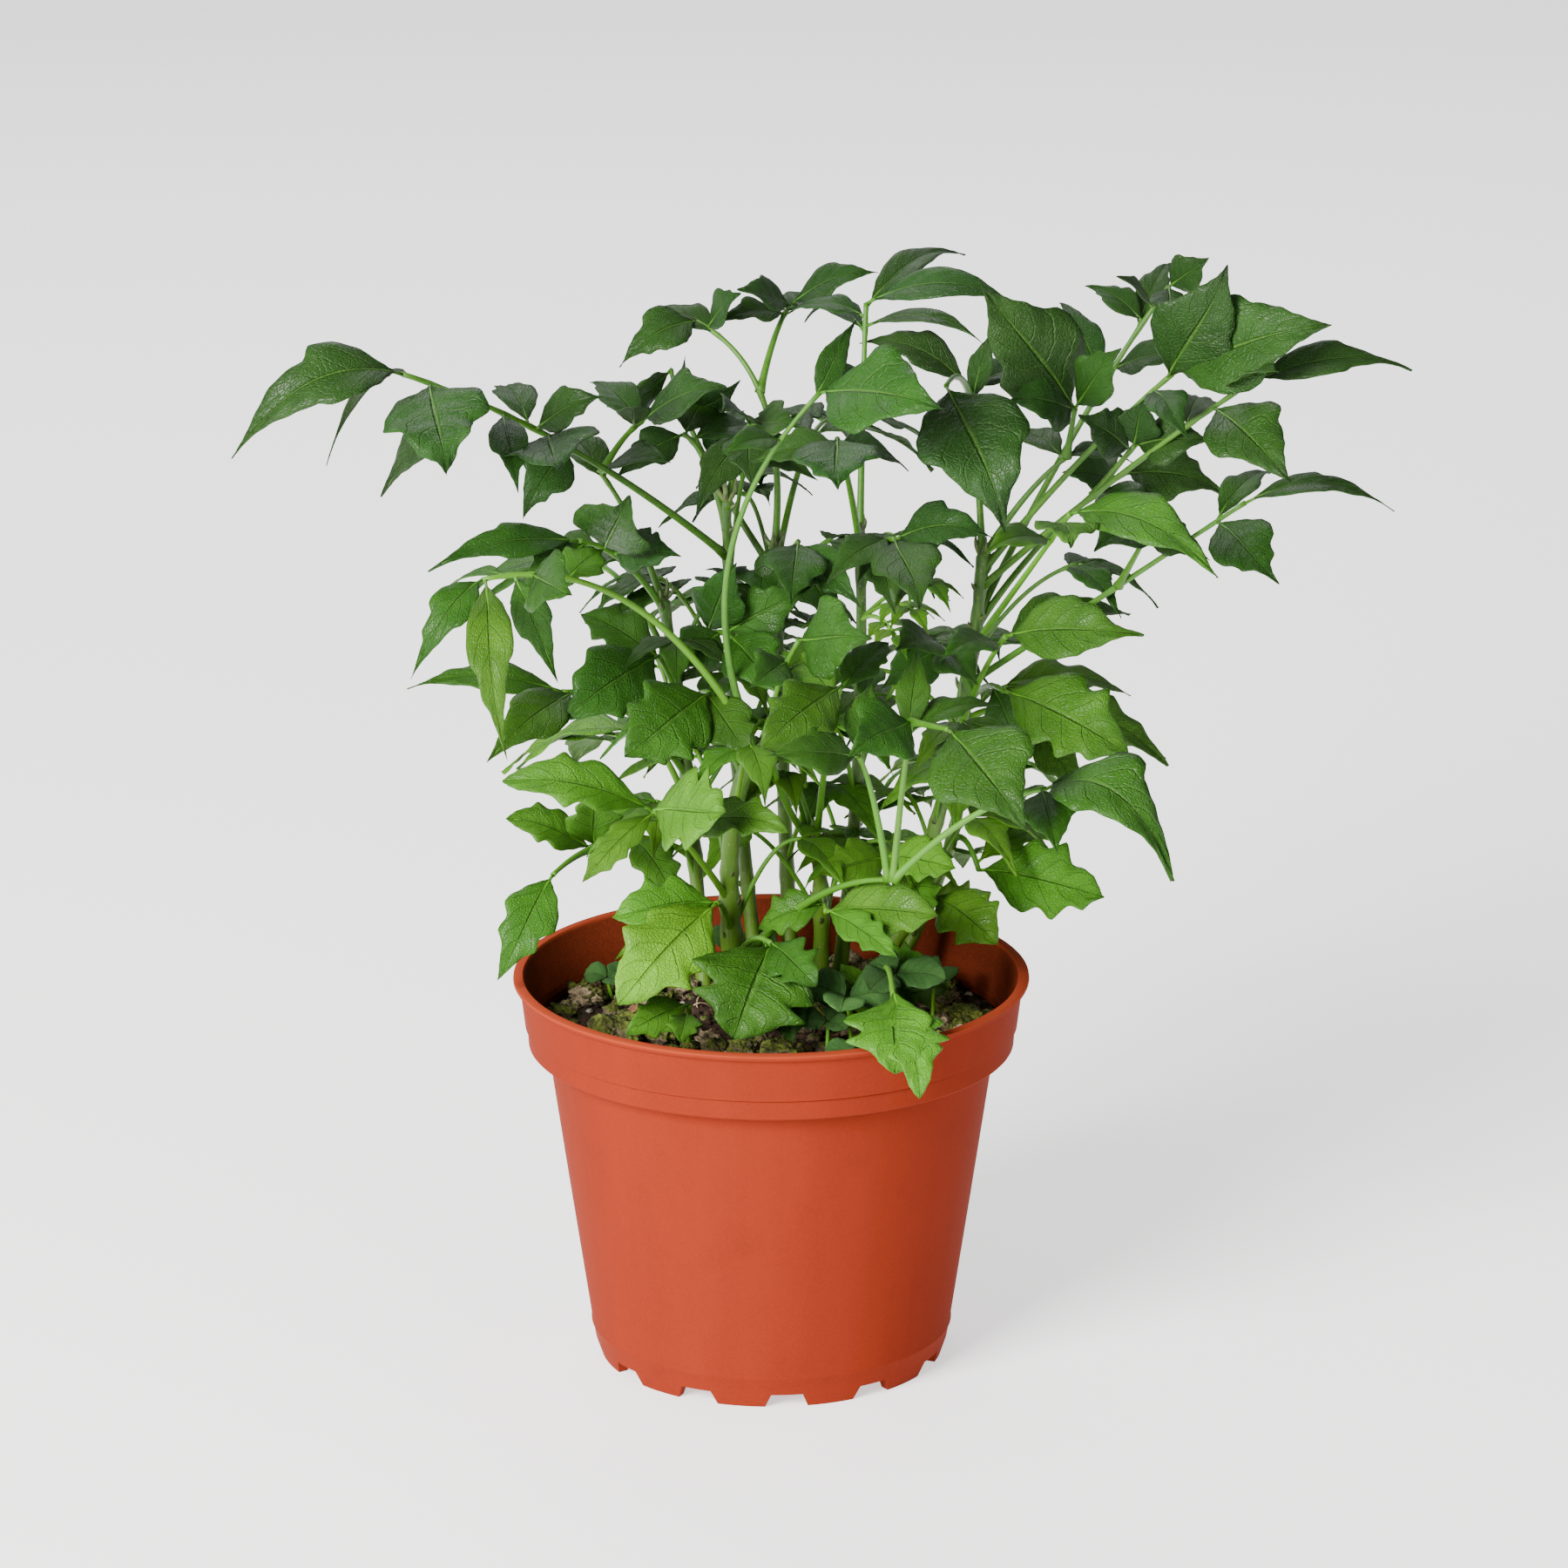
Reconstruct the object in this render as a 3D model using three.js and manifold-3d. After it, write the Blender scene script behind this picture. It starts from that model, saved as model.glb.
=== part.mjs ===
// A young china doll plant growing in a terracotta-coloured plastic nursery pot.
// Millimetres, +Z up. The origin is the centre of the pot's base, on the surface it stands on.
// The pot, the soil and the stones come first, then the stems, then one node for each compound
// leaf: a stalk, its side stalks and its leaflets, grown as one piece.

import * as THREE from "three";
import { mergeVertices } from "three/addons/utils/BufferGeometryUtils.js";
import Module from "manifold-3d";

const wasm = await Module();
wasm.setup();

// ---------------------------------------------------------------- driving dimensions

const GAP = 0.3; // clearance between pieces that touch

// Pot
const POT_HEIGHT = 117;
const RIM_RADIUS = 76;
const LIP_REACH = 1.8; // how far the lip stands out from the collar
const LIP_HEIGHT = 2;
const COLLAR_HEIGHT = 21;
const COLLAR_TAPER = 2.6; // how much the collar narrows from the lip to its lower edge
const COLLAR_STEP = 5.5; // the collar's overhang above the body
const LEDGE_HEIGHT = 6; // of the line round the collar, above its lower edge
const LEDGE_DEPTH = 0.5;
const BASE_RADIUS = 51;
const SKIRT_HEIGHT = 9.7; // of the seam above which the body runs straight
const SKIRT_FLARE = 2.6;
const WALL = 1.5;
const FLOOR_CLEARANCE = 3.8; // under the pot's floor
const FOOT_WIDTH = 3;
const NOTCHES = 12;
const NOTCH_HEIGHT = 4.2;
const NOTCH_WIDTH = 12.5;
const NOTCH_SLOPE = 1.6; // how much narrower a notch is at its top
const NOTCH_TURN = 5; // degrees round from the front to the first notch
const BOSS_RADIUS = 9; // the moulded pad in the middle of the base
const DRAIN_HOLES = 6;
const DRAIN_RADIUS = 4;
const DRAIN_CIRCLE = 36;
const POT_SIDES = 36;

// Soil and stones
const SOIL_DEPTH = 17; // from the top of the rim down to the soil
const SOIL_RELIEF = 2.4;
const SOIL_RINGS = 5;
const STONE_FLATNESS = 0.7;
const STONE_ROUGHNESS = 0.12;
const STONE_GRAIN = 9; // the radius at which a stone's unevenness is sampled
const STONE_RISE = 0.4; // of a stone's centre above the soil, as a share of its height

// Stems, stalks and leaflets
const ROOT_SHARE = 0.2; // the buried length of a stem, as a share of the part above the soil
const STEM_SIDES = 8;
const STEM_STEPS = 7;
const STALK_SIDES = 4;
const STALK_STEPS = 5;
const STALK_TIP_RADIUS = 0.8;
const STALK_RADIUS = 1.4;
const STALK_OVERRUN = 1.5; // how far a stalk runs past its last leaflet's joint
const BLADE_THICKNESS = 1;
const BLADE_BOW = 0.15; // rise of a leaflet's middle above its chord, as a share of its length
const BLADE_SIDES = 4;
const BLADE_EDGE_GAP = 1.2; // clearance past a leaflet's thin edge
const BLADE_ROOT = 1.6; // how far back past its joint a leaflet starts, inside the stalk
const PAIR_SWING = 55; // degrees from the stalk to each leaflet of a pair
const PAIR_DROOP = 20;
const END_DROOP = 29;
const PAIR_SLIMNESS = 0.42; // width over length
const SEEDLING_DEPTH = 12; // from the soil down to a seedling's root

// A leaflet's outline: the share of its length, and its width there as a share of the widest.
const BLADE_OUTLINE = [
  [0, 0],
  [0.06, 0.1],
  [0.42, 1],
  [1, 0],
];

// ---------------------------------------------------------------- what grows where

const STONES = [
  { name: "stone_left", at: [-47, -20], radius: 9 },
  { name: "stone_right", at: [58, -6], radius: 8 },
  { name: "stone_front", at: [-1, -56], radius: 6 },
  { name: "stone_back", at: [48, 34], radius: 7 },
];

// Each stem leaves the soil at its foot and passes through its middle point to its top.
const STEMS = [
  { name: "stem_left", foot: [-9, 12], middle: [-12, 5, 153], top: [-4, -6, 188], radius: [3, 2.4] },
  { name: "stem_middle", foot: [14, 30], middle: [15, 28, 128], top: [13, 22, 151], radius: [2.6, 2] },
  { name: "stem_tall", foot: [20, 38], middle: [26, 42, 170], top: [26, 30, 245], radius: [2.4, 1.4] },
  { name: "stem_right", foot: [28, 20], middle: [52, 30, 165], top: [62, 22, 240], radius: [2.6, 1.6] },
  { name: "stem_outer_left", foot: [-20, 28], middle: [-25, 38, 166], top: [-32, 36, 222], radius: [2.4, 1.5] },
  { name: "stem_budding", foot: [-4, 42], middle: [-11, 52, 178], top: [-13, 46, 250], radius: [2.4, 1.2] },
  { name: "stem_back", foot: [6, 52], middle: [3, 64, 175], top: [1, 58, 232], radius: [2.5, 1.5] },
  { name: "stem_back_right", foot: [34, 38], middle: [54, 48, 142], top: [58, 60, 186], radius: [1.9, 1.3] },
];

// A leaf grows from a stem, a share of the way up it. Its stalk runs to `end` and rises by
// `arch` above the straight line, or passes through `via`; a side stalk in `sprays` grows from
// the main stalk in the same way. A blade is written as
//   [share of the way along its stalk, tip x, tip y, tip z, width, face, bow]
// and `face` is how far its upper side turns from straight up (0) to the front (90), in degrees;
// `bow` is BLADE_BOW where it is left out.
// `pairs` of blades of one `length` grow along the stalks that nothing more is known about.
const LEAVES = [
  { name: "leaf_front_right", stem: "stem_left", from: 0.12, end: [35, -40, 158], arch: 8, radius: 2.1,
    blades: [], sprays: [
      { from: 0.97, end: [25, -50, 198], arch: 5, blades: [
        [1, -1, -72, 205, 13, 60],
        [0.95, 29, -30, 216, 11, 60],
      ] },
      { from: 1, end: [40, -42, 206], arch: 4, blades: [
        [1, 22, -70, 204, 19, 65],
        [0.9, 66, -22, 205, 9, 20],
        [0.85, 42, -18, 221, 9, 40],
      ], sprays: [
        { from: 1, end: [50, -60, 209], arch: 0, blades: [
          [1, 71, -95, 190, 28, 62],
        ] },
      ] },
      { from: 1, end: [78, -55, 190], arch: 5, blades: [
        [1, 113, -85, 172, 24, 32, 0.36],
        [0.97, 80, -88, 181, 15, 60],
        [0.88, 70, -20, 170, 12, 30],
      ] },
    ] },
  { name: "leaf_glossy_top", stem: "stem_left", from: 0.98, end: [14, -20, 297], via: [-12, -14, 246],
    radius: 1.5, blades: [
      [1, 48, -66, 303, 25, 60],
      [0.98, 25, 4, 313, 8, 80],
      [0.85, -14, -36, 283, 9, 40],
    ] },
  { name: "leaf_drooping", stem: "stem_left", from: 0.98, end: [-82, -35, 246], via: [-40, -18, 234],
    radius: 1.6, blades: [
      [1, -102, -50, 221, 11, 45, 0.24],
      [0.99, -74, -68, 202, 12, 60, 0.26],
      [0.9, -61, -24, 212, 10, 60],
      [0.84, -56, -66, 250, 17, 75],
      [0.72, -48, -8, 248, 12, 50],
      [0.93, -98, -6, 230, 7, 20],
    ] },
  { name: "leaf_bottom_front", stem: "stem_left", from: 0.14, end: [0, -25, 134], arch: 4, blades: [
    [1, -11, -52, 114, 28, 68],
    [0.95, 13, -46, 128, 12, 55],
    [0.8, 6, -44, 110, 16, 60],
  ] },
  { name: "leaf_bottom_left", stem: "stem_left", from: 0.22, end: [-16, -12, 142], arch: 3, blades: [
    [1, -44, -48, 123, 23, 60],
    [0.9, -46, -22, 141, 17, 50],
    [0.8, -46, 8, 118, 9, 30],
  ] },
  { name: "leaf_pale_left", stem: "stem_left", from: 0.32, end: [-34, -27, 175], arch: 2, blades: [
    [1, -77, -40, 188, 15, 50, 0.2],
    [1, -13, -58, 184, 23, 62],
    [0.97, -54, -48, 160, 9, 50],
    [0.85, -52, 2, 154, 11, 30],
    [0.75, 5, -48, 175, 13, 45],
  ] },
  { name: "leaf_green_right", stem: "stem_middle", from: 0.55, end: [16, -20, 142], arch: 3, blades: [
    [1, 48, -42, 148, 18, 52],
    [0.95, 36, -56, 140, 10, 60],
    [0.8, -4, -6, 132, 12, 50],
  ] },
  { name: "leaf_centre_front", stem: "stem_middle", from: 0.95, end: [20, -34, 214], arch: 8, blades: [
    [1, -3, -66, 205, 18, 60],
    [0.92, 34, -12, 221, 11, 40],
    [0.85, 2, 2, 214, 12, 50],
  ] },
  { name: "leaf_pale_centre", stem: "stem_middle", from: 0.9, end: [8, -20, 224], via: [0, -2, 186], blades: [
    [1, 28, -52, 233, 21, 72],
    [0.9, -6, -34, 214, 13, 60],
    [0.85, 24, 8, 210, 10, 30],
  ] },
  { name: "leaf_far_left", stem: "stem_budding", from: 0.86, end: [-105, -10, 300], arch: 6, radius: 1.5,
    blades: [
      [1, -153, -25, 279, 19, 40, 0.3],
      [0.97, -130, 24, 265, 8, 5, 0.2],
      [0.92, -91, -48, 280, 27, 75],
      [0.8, -114, 20, 256, 13, 55],
      [0.7, -72, -22, 268, 10, 60],
      [0.62, -80, 52, 280, 11, 10],
      [0.56, -60, -34, 278, 25, 70],
      [0.5, -72, 10, 252, 14, 60],
      [0.6, -48, 4, 290, 12, 50],
    ] },
  { name: "leaf_left_back", stem: "stem_outer_left", from: 0.97, end: [-50, 44, 257], arch: 4, blades: [
    [1, -29, 14, 268, 12, 35],
    [0.9, -62, 74, 262, 10, 40],
  ], sprays: [
    { from: 1, end: [-38, 56, 270], arch: 2, blades: [
      [1, -13, 34, 286, 16, 45],
      [0.95, -54, 80, 276, 11, 30],
      [0.8, -40, 30, 280, 9, 40],
    ] },
  ] },
  { name: "leaf_top_left", stem: "stem_back", from: 0.98, end: [-22, 78, 295], via: [-2, 62, 274], blades: [
    [1, -45, 66, 284, 14, 45, 0.24],
    [0.94, -9, 60, 308, 11, 50],
    [0.88, -36, 100, 294, 9, 40],
  ], sprays: [
    { from: 0.55, end: [6, 92, 297], arch: 4, blades: [
      [1, 32, 82, 309, 11, 40, 0.18],
      [0.97, -10, 74, 306, 11, 50],
      [0.8, -16, 70, 296, 9, 40],
      [0.8, 18, 116, 290, 10, 20],
    ] },
  ] },
  { name: "leaf_olive_back", stem: "stem_back", from: 0.9, end: [-30, 88, 278], via: [-20, 74, 255], blades: [
    [1, -49, 74, 270, 12, 120],
    [0.75, -9, 62, 281, 12, 110],
    [0.7, -26, 114, 276, 11, 100],
    [0.45, -8, 104, 262, 12, 30],
  ] },
  { name: "leaf_spear_top", stem: "stem_tall", from: 0.98, end: [28, 50, 307], arch: 8, blades: [
    [1, 73, 36, 309, 12, 35, 0.2],
    [0.97, 58, 84, 314, 10, 20],
    [0.9, 4, 62, 301, 9, 20],
    [0.84, 62, 24, 301, 8, 20],
    [0.8, 10, 92, 292, 9, 20],
    [0.6, 18, 20, 286, 12, 60],
  ] },
  { name: "leaf_crown_right", stem: "stem_right", from: 0.86, end: [117, 54, 311], via: [92, 50, 272],
    blades: [
      [1, 128, 44, 322, 11, 70],
      [1, 116, 24, 307, 10, 75],
      [0.84, 93, 68, 308, 9, 30],
      [0.8, 120, 84, 312, 8, 10],
      [0.66, 122, 34, 294, 11, 45],
      [0.6, 86, 84, 300, 10, 25],
      [0.9, 101, 46, 316, 7, 30],
    ] },
  { name: "leaf_dark_top", stem: "stem_right", from: 0.98, end: [58, 40, 284], arch: 8, blades: [
    [1, 26, 50, 295, 12, 35, 0.24],
    [0.95, 82, 68, 281, 10, 30],
    [0.8, 64, 34, 302, 7, 30],
  ], sprays: [
    { from: 0.9, end: [50, -12, 297], arch: 4, blades: [
      [1, 66, -44, 262, 29, 62],
    ] },
  ] },
  { name: "leaf_upper_right", stem: "stem_right", from: 0.98, end: [86, 20, 268], arch: 3, blades: [
    [0.97, 66, 58, 262, 11, 20],
    [1, 106, 30, 264, 8, 20],
  ], sprays: [
    { from: 1, end: [88, 14, 284], arch: 0, blades: [
      [1, 100, -8, 307, 13, 60],
      [0.98, 68, -6, 291, 17, 60],
      [0.98, 60, 0, 324, 26, 60],
    ] },
  ] },
  { name: "leaf_right_top", stem: "stem_right", from: 0.95, end: [115, -2, 298], arch: 3, blades: [
    [0.97, 129, -20, 334, 23, 70],
    [1, 158, -30, 319, 25, 60],
    [0.9, 118, -36, 287, 11, 50],
  ] },
  { name: "leaf_far_right", stem: "stem_right", from: 0.92, end: [137, -15, 299], arch: 2, blades: [
    [1, 183, -10, 301, 11, 40, 0.16],
    [0.93, 142, -46, 309, 13, 40],
    [0.86, 146, -50, 278, 21, 60],
    [0.76, 128, 30, 282, 12, 30],
  ], sprays: [
    { from: 0.42, end: [105, 6, 275], arch: 0, blades: [
      [1, 126, -4, 279, 15, 55],
      [0.97, 107, 0, 290, 13, 60],
      [0.9, 88, -6, 287, 14, 60],
    ] },
  ] },
  { name: "leaf_dark_right", stem: "stem_right", from: 0.84, end: [104, 40, 258], arch: 5, blades: [
    [1, 133, 34, 253, 17, 50, 0.2],
    [0.9, 88, 72, 250, 15, 40],
    [0.8, 112, 10, 250, 13, 50],
    [0.95, 85, 26, 262, 11, 60],
  ] },
  { name: "leaf_bright_arch", stem: "stem_right", from: 0.8, end: [85, -30, 264], arch: 0, blades: [
    [1, 125, -70, 256, 17, 45, 0.24],
    [0.92, 83, -74, 266, 17, 60],
    [0.8, 60, -46, 256, 10, 40],
  ] },
  { name: "leaf_right_long", stem: "stem_right", from: 0.72, end: [136, -10, 262], arch: 0, blades: [
    [1, 178, -20, 262, 9, 25, 0.2],
    [0.9, 146, 26, 262, 9, 20],
    [0.9, 144, -40, 246, 17, 60],
  ], sprays: [
    { from: 0.55, end: [108, -6, 251], arch: 0, blades: [
      [1, 126, -14, 246, 11, 40],
      [1, 92, -26, 252, 13, 40],
    ] },
  ] },
  { name: "leaf_right_middle", stem: "stem_right", from: 0.62, end: [68, -5, 221], arch: 3, blades: [
    [1, 107, -22, 226, 19, 50],
    [0.95, 106, 24, 220, 14, 40],
    [0.85, 48, -34, 222, 12, 40],
  ], sprays: [
    { from: 0.3, end: [49, 16, 213], arch: 2, blades: [
      [1, 36, -12, 219, 15, 50],
      [0.95, 60, -4, 206, 13, 60],
      [0.9, 32, 6, 202, 14, 65],
    ] },
  ] },
  { name: "leaf_right_big", stem: "stem_back_right", from: 0.94, end: [68, 14, 199], arch: 4, blades: [
    [1, 104, -15, 188, 25, 55],
    [0.9, 107, 40, 190, 11, 30],
    [0.85, 117, 14, 176, 13, 45],
    [0.7, 76, 30, 172, 14, 60],
  ] },
  { name: "leaf_dark_centre", stem: "stem_outer_left", from: 0.8, end: [-12, 14, 216], arch: 4, blades: [
    [1, 3, -12, 205, 17, 65],
    [0.92, 12, 14, 231, 14, 65],
    [0.85, -29, 10, 205, 14, 50],
    [0.6, -10, 6, 240, 15, 65],
  ] },
  { name: "leaf_dark_left", stem: "stem_outer_left", from: 0.62, end: [-18, -2, 203], arch: 4, blades: [
    [1, -42, -30, 192, 24, 65],
    [0.9, -6, -26, 190, 14, 70],
  ], sprays: [
    { from: 0.1, end: [-33, 20, 208], arch: 2, blades: [
      [1, -60, -2, 195, 21, 62],
      [0.9, -56, 30, 218, 14, 50],
    ] },
  ] },
  { name: "leaf_left_lobed", stem: "stem_outer_left", from: 0.95, end: [-56, 12, 245], arch: 5, blades: [
    [1, -99, -10, 242, 11, 45],
    [0.7, -41, -14, 265, 21, 75],
    [0.75, -74, 40, 226, 12, 40],
    [0.6, -26, 2, 243, 13, 60],
    [0.9, -74, -4, 228, 13, 60],
  ] },
  { name: "leaf_left_level", stem: "stem_outer_left", from: 0.5, end: [-61, 10, 200], arch: 7, blades: [
    [1, -106, 0, 204, 10, 40],
    [0.9, -82, -22, 188, 15, 55],
    [0.75, -46, 46, 184, 9, 20],
  ] },
  { name: "leaf_low_left", stem: "stem_outer_left", from: 0.3, end: [-53, 22, 148], arch: 5, blades: [
    [1, -78, 8, 162, 12, 50],
    [0.97, -53, 2, 175, 15, 70],
    [0.8, -64, 54, 138, 10, 30],
    [0.6, -28, 0, 138, 12, 40],
  ], sprays: [
    { from: 1, end: [-64, 0, 147], arch: 1, blades: [
      [1, -80, -20, 121, 15, 60],
    ] },
  ] },
  { name: "leaf_low_middle", stem: "stem_back_right", from: 0.3, end: [33, 8, 150], arch: 3, blades: [
    [1, 54, -6, 151, 14, 50],
    [0.9, 14, -8, 150, 14, 60],
    [0.6, 46, -8, 136, 12, 60],
  ] },
  { name: "leaf_low_dark", stem: "stem_right", from: 0.18, end: [48, 8, 138], arch: 3, blades: [
    [1, 66, -14, 130, 17, 50],
    [0.9, 62, 22, 128, 12, 60],
  ] },
  { name: "leaf_low_right", stem: "stem_back_right", from: 0.5, end: [62, 36, 137], arch: 5, blades: [
    [1, 99, 22, 133, 22, 52],
    [0.92, 86, 58, 142, 12, 30],
    [0.85, 58, 68, 128, 10, 30],
  ] },
  { name: "leaf_behind_right", stem: "stem_back_right", from: 0.9, end: [80, 66, 172], arch: 5, blades: [
    [1, 94, 58, 152, 13, 50],
    [0.95, 98, 90, 184, 11, 30],
    [0.85, 72, 96, 150, 11, 30],
    [0.97, 119, 56, 166, 12, 40],
    [0.8, 66, 40, 158, 12, 60],
  ] },
  { name: "leaf_upper_grey", stem: "stem_budding", from: 0.97, end: [-6, 44, 272], arch: 4, blades: [
    [1, -14, 16, 283, 13, 50],
    [0.95, 8, 18, 278, 13, 60],
    [0.9, -5, 16, 260, 14, 65],
    [0.8, -22, 20, 250, 11, 60],
    [0.7, 14, 40, 256, 10, 50],
  ] },
  { name: "leaf_upper_green", stem: "stem_tall", from: 0.95, end: [19, -6, 280], arch: 3, blades: [
    [1, 19, -40, 274, 22, 72],
    [0.93, 40, 8, 267, 11, 30],
    [0.9, -6, 0, 271, 11, 40],
  ] },
  { name: "leaf_upper_left", stem: "stem_budding", from: 0.92, end: [-26, 56, 266], arch: 6, blades: [
    [1, -46, 50, 254, 12, 50],
    [0.95, -18, 88, 270, 12, 50],
    [0.8, 2, 74, 262, 10, 30],
  ] },
  { name: "leaf_arch_centre", stem: "stem_tall", from: 0.9, end: [36, 6, 247], arch: 3, blades: [
    [1, 64, -4, 250, 14, 50, 0.3],
    [0.97, 42, -38, 238, 18, 70],
    [0.85, 16, -10, 238, 12, 40],
    [0.6, 36, 0, 226, 12, 60],
  ] },
  { name: "leaf_middle_grey", stem: "stem_back", from: 0.8, end: [8, 34, 239], arch: 3, blades: [
    [1, 6, 4, 228, 16, 70],
    [0.9, 26, 12, 225, 12, 70],
    [0.8, -8, 36, 214, 12, 40],
    [0.7, 22, 34, 212, 13, 60],
  ] },
  { name: "leaf_rear_left", stem: "stem_outer_left", from: 0.75, end: [-60, 86, 218], arch: 12, pairs: 2,
    length: 42 },
  { name: "leaf_rear_low_left", stem: "stem_outer_left", from: 0.4, end: [-48, 92, 160], arch: 12, pairs: 2,
    length: 40 },
  { name: "leaf_rear_middle", stem: "stem_back", from: 0.5, end: [-6, 118, 196], arch: 16, pairs: 3,
    length: 44 },
  { name: "leaf_rear_top", stem: "stem_back", from: 0.9, end: [18, 122, 254], arch: 12, pairs: 2,
    length: 42 },
  { name: "leaf_rear_right", stem: "stem_back_right", from: 0.97, end: [60, 114, 184], arch: 6, pairs: 3,
    length: 40 },
  { name: "leaf_rear_low_right", stem: "stem_back_right", from: 0.55, end: [62, 104, 146], arch: 10,
    pairs: 2, length: 38 },
];

// Small seedlings at the front, each grown as one piece: a short stem and its blades.
const SEEDLINGS = [
  { name: "seedling_right", foot: [30, 4], end: [33, -14, 122], arch: 0, blades: [
    [0.9, 47, -12, 123, 13, 60],
    [0.8, 52, 4, 110, 9, 60],
    [0.85, 14, -28, 117, 11, 60],
  ], sprays: [
    { from: 0.9, end: [35, -50, 126], arch: 6, blades: [
      [1, 35, -82, 114, 20, 60],
      [0.9, 42, -86, 108, 11, 60],
    ] },
  ] },
  { name: "seedling_left", foot: [-24, -22], end: [-24, -30, 117], arch: 0, blades: [
    [1, -42, -48, 114, 11, 60],
    [0.9, -26, -58, 115, 9, 60],
  ] },
];

// The tables above are drawn for this soil and this rim. The plant and the stones rise with the soil
// and spread with the rim.
const DRAWN_SOIL_TOP = 100;
const DRAWN_RIM_RADIUS = 76;

const SOIL_TOP = POT_HEIGHT - SOIL_DEPTH;
const RISE = SOIL_TOP - DRAWN_SOIL_TOP;
const SPREAD = RIM_RADIUS / DRAWN_RIM_RADIUS;

// The place of a table's [x, y, z], or of its [x, y] at the soil's level.
function spot([x, y, z = DRAWN_SOIL_TOP]) {
  return new THREE.Vector3(x * SPREAD, y * SPREAD, z + RISE);
}

// ---------------------------------------------------------------- materials

const COLOURS = {
  pot: { color: 0xc4603f, roughness: 0.45 },
  soil: { color: 0x33241b, roughness: 0.95 },
  stone: { color: 0x7c7a52, roughness: 0.9 },
  stem: { color: 0x7aa23c, roughness: 0.6 },
  leaf: { color: 0x3f7d2c, roughness: 0.5 },
};

function material(kind) {
  return new THREE.MeshStandardMaterial({ ...COLOURS[kind], metalness: 0, flatShading: true });
}

// ---------------------------------------------------------------- solids

// Welds a geometry's shared vertices and makes it a solid that can be joined and cut.
function solidOf(geometry) {
  const bare = geometry.clone();
  bare.deleteAttribute("normal");
  bare.deleteAttribute("uv");
  const welded = mergeVertices(bare, 1e-4);
  const faces = [];
  for (let i = 0; i < welded.index.count; i += 3) {
    const [a, b, c] = [0, 1, 2].map((k) => welded.index.getX(i + k));
    if (a !== b && b !== c && c !== a) faces.push(a, b, c);
  }
  return new wasm.Manifold(new wasm.Mesh({
    numProp: 3,
    vertProperties: new Float32Array(welded.attributes.position.array),
    triVerts: new Uint32Array(faces),
  }));
}

function geometryOf(solid) {
  const { vertProperties, triVerts } = solid.getMesh();
  const geometry = new THREE.BufferGeometry();
  geometry.setAttribute("position", new THREE.BufferAttribute(vertProperties, 3));
  geometry.setIndex(new THREE.BufferAttribute(triVerts, 1));
  return geometry;
}

// Welding a cut solid again can free a sliver that hung on by a hair, so the largest bit is kept.
function meshOf(name, solid, kind) {
  const welded = largestOf(solidOf(geometryOf(solid)));
  const mesh = new THREE.Mesh(geometryOf(welded), material(kind));
  mesh.name = name;
  return mesh;
}

function join(solids) {
  return solids.reduce((whole, solid) => whole.add(solid));
}

// Where a cut leaves several bits, the piece is the largest of them.
function largestOf(solid) {
  const bits = solid.decompose();
  return bits.reduce((best, bit) => (bit.volume() > best.volume() ? bit : best));
}

function boxesMeet(a, b) {
  const p = a.boundingBox();
  const q = b.boundingBox();
  return [0, 1, 2].every((k) => p.min[k] < q.max[k] && q.min[k] < p.max[k]);
}

// Cuts a solid back wherever it would run into one of the others' clearances.
function clearOf(solid, others) {
  const near = others.filter((other) => boxesMeet(solid, other));
  return largestOf(near.reduce((rest, other) => rest.subtract(other), solid));
}

// Turns a profile of [radius, height] points about the Z axis.
function turned(profile) {
  const points = profile.map(([radius, height]) => new THREE.Vector2(radius, height));
  return new THREE.LatheGeometry(points, POT_SIDES).rotateX(Math.PI / 2);
}

// ---------------------------------------------------------------- pot

const BODY_TOP = POT_HEIGHT - COLLAR_HEIGHT;
const COLLAR_RADIUS = RIM_RADIUS - LIP_REACH;
const COLLAR_FOOT_RADIUS = COLLAR_RADIUS - COLLAR_TAPER;
const BODY_RADIUS = COLLAR_FOOT_RADIUS - COLLAR_STEP;
const SKIRT_RADIUS = BASE_RADIUS + SKIRT_FLARE;
const FLOOR_TOP = FLOOR_CLEARANCE + WALL;
const LEDGE = BODY_TOP + LEDGE_HEIGHT;

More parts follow.
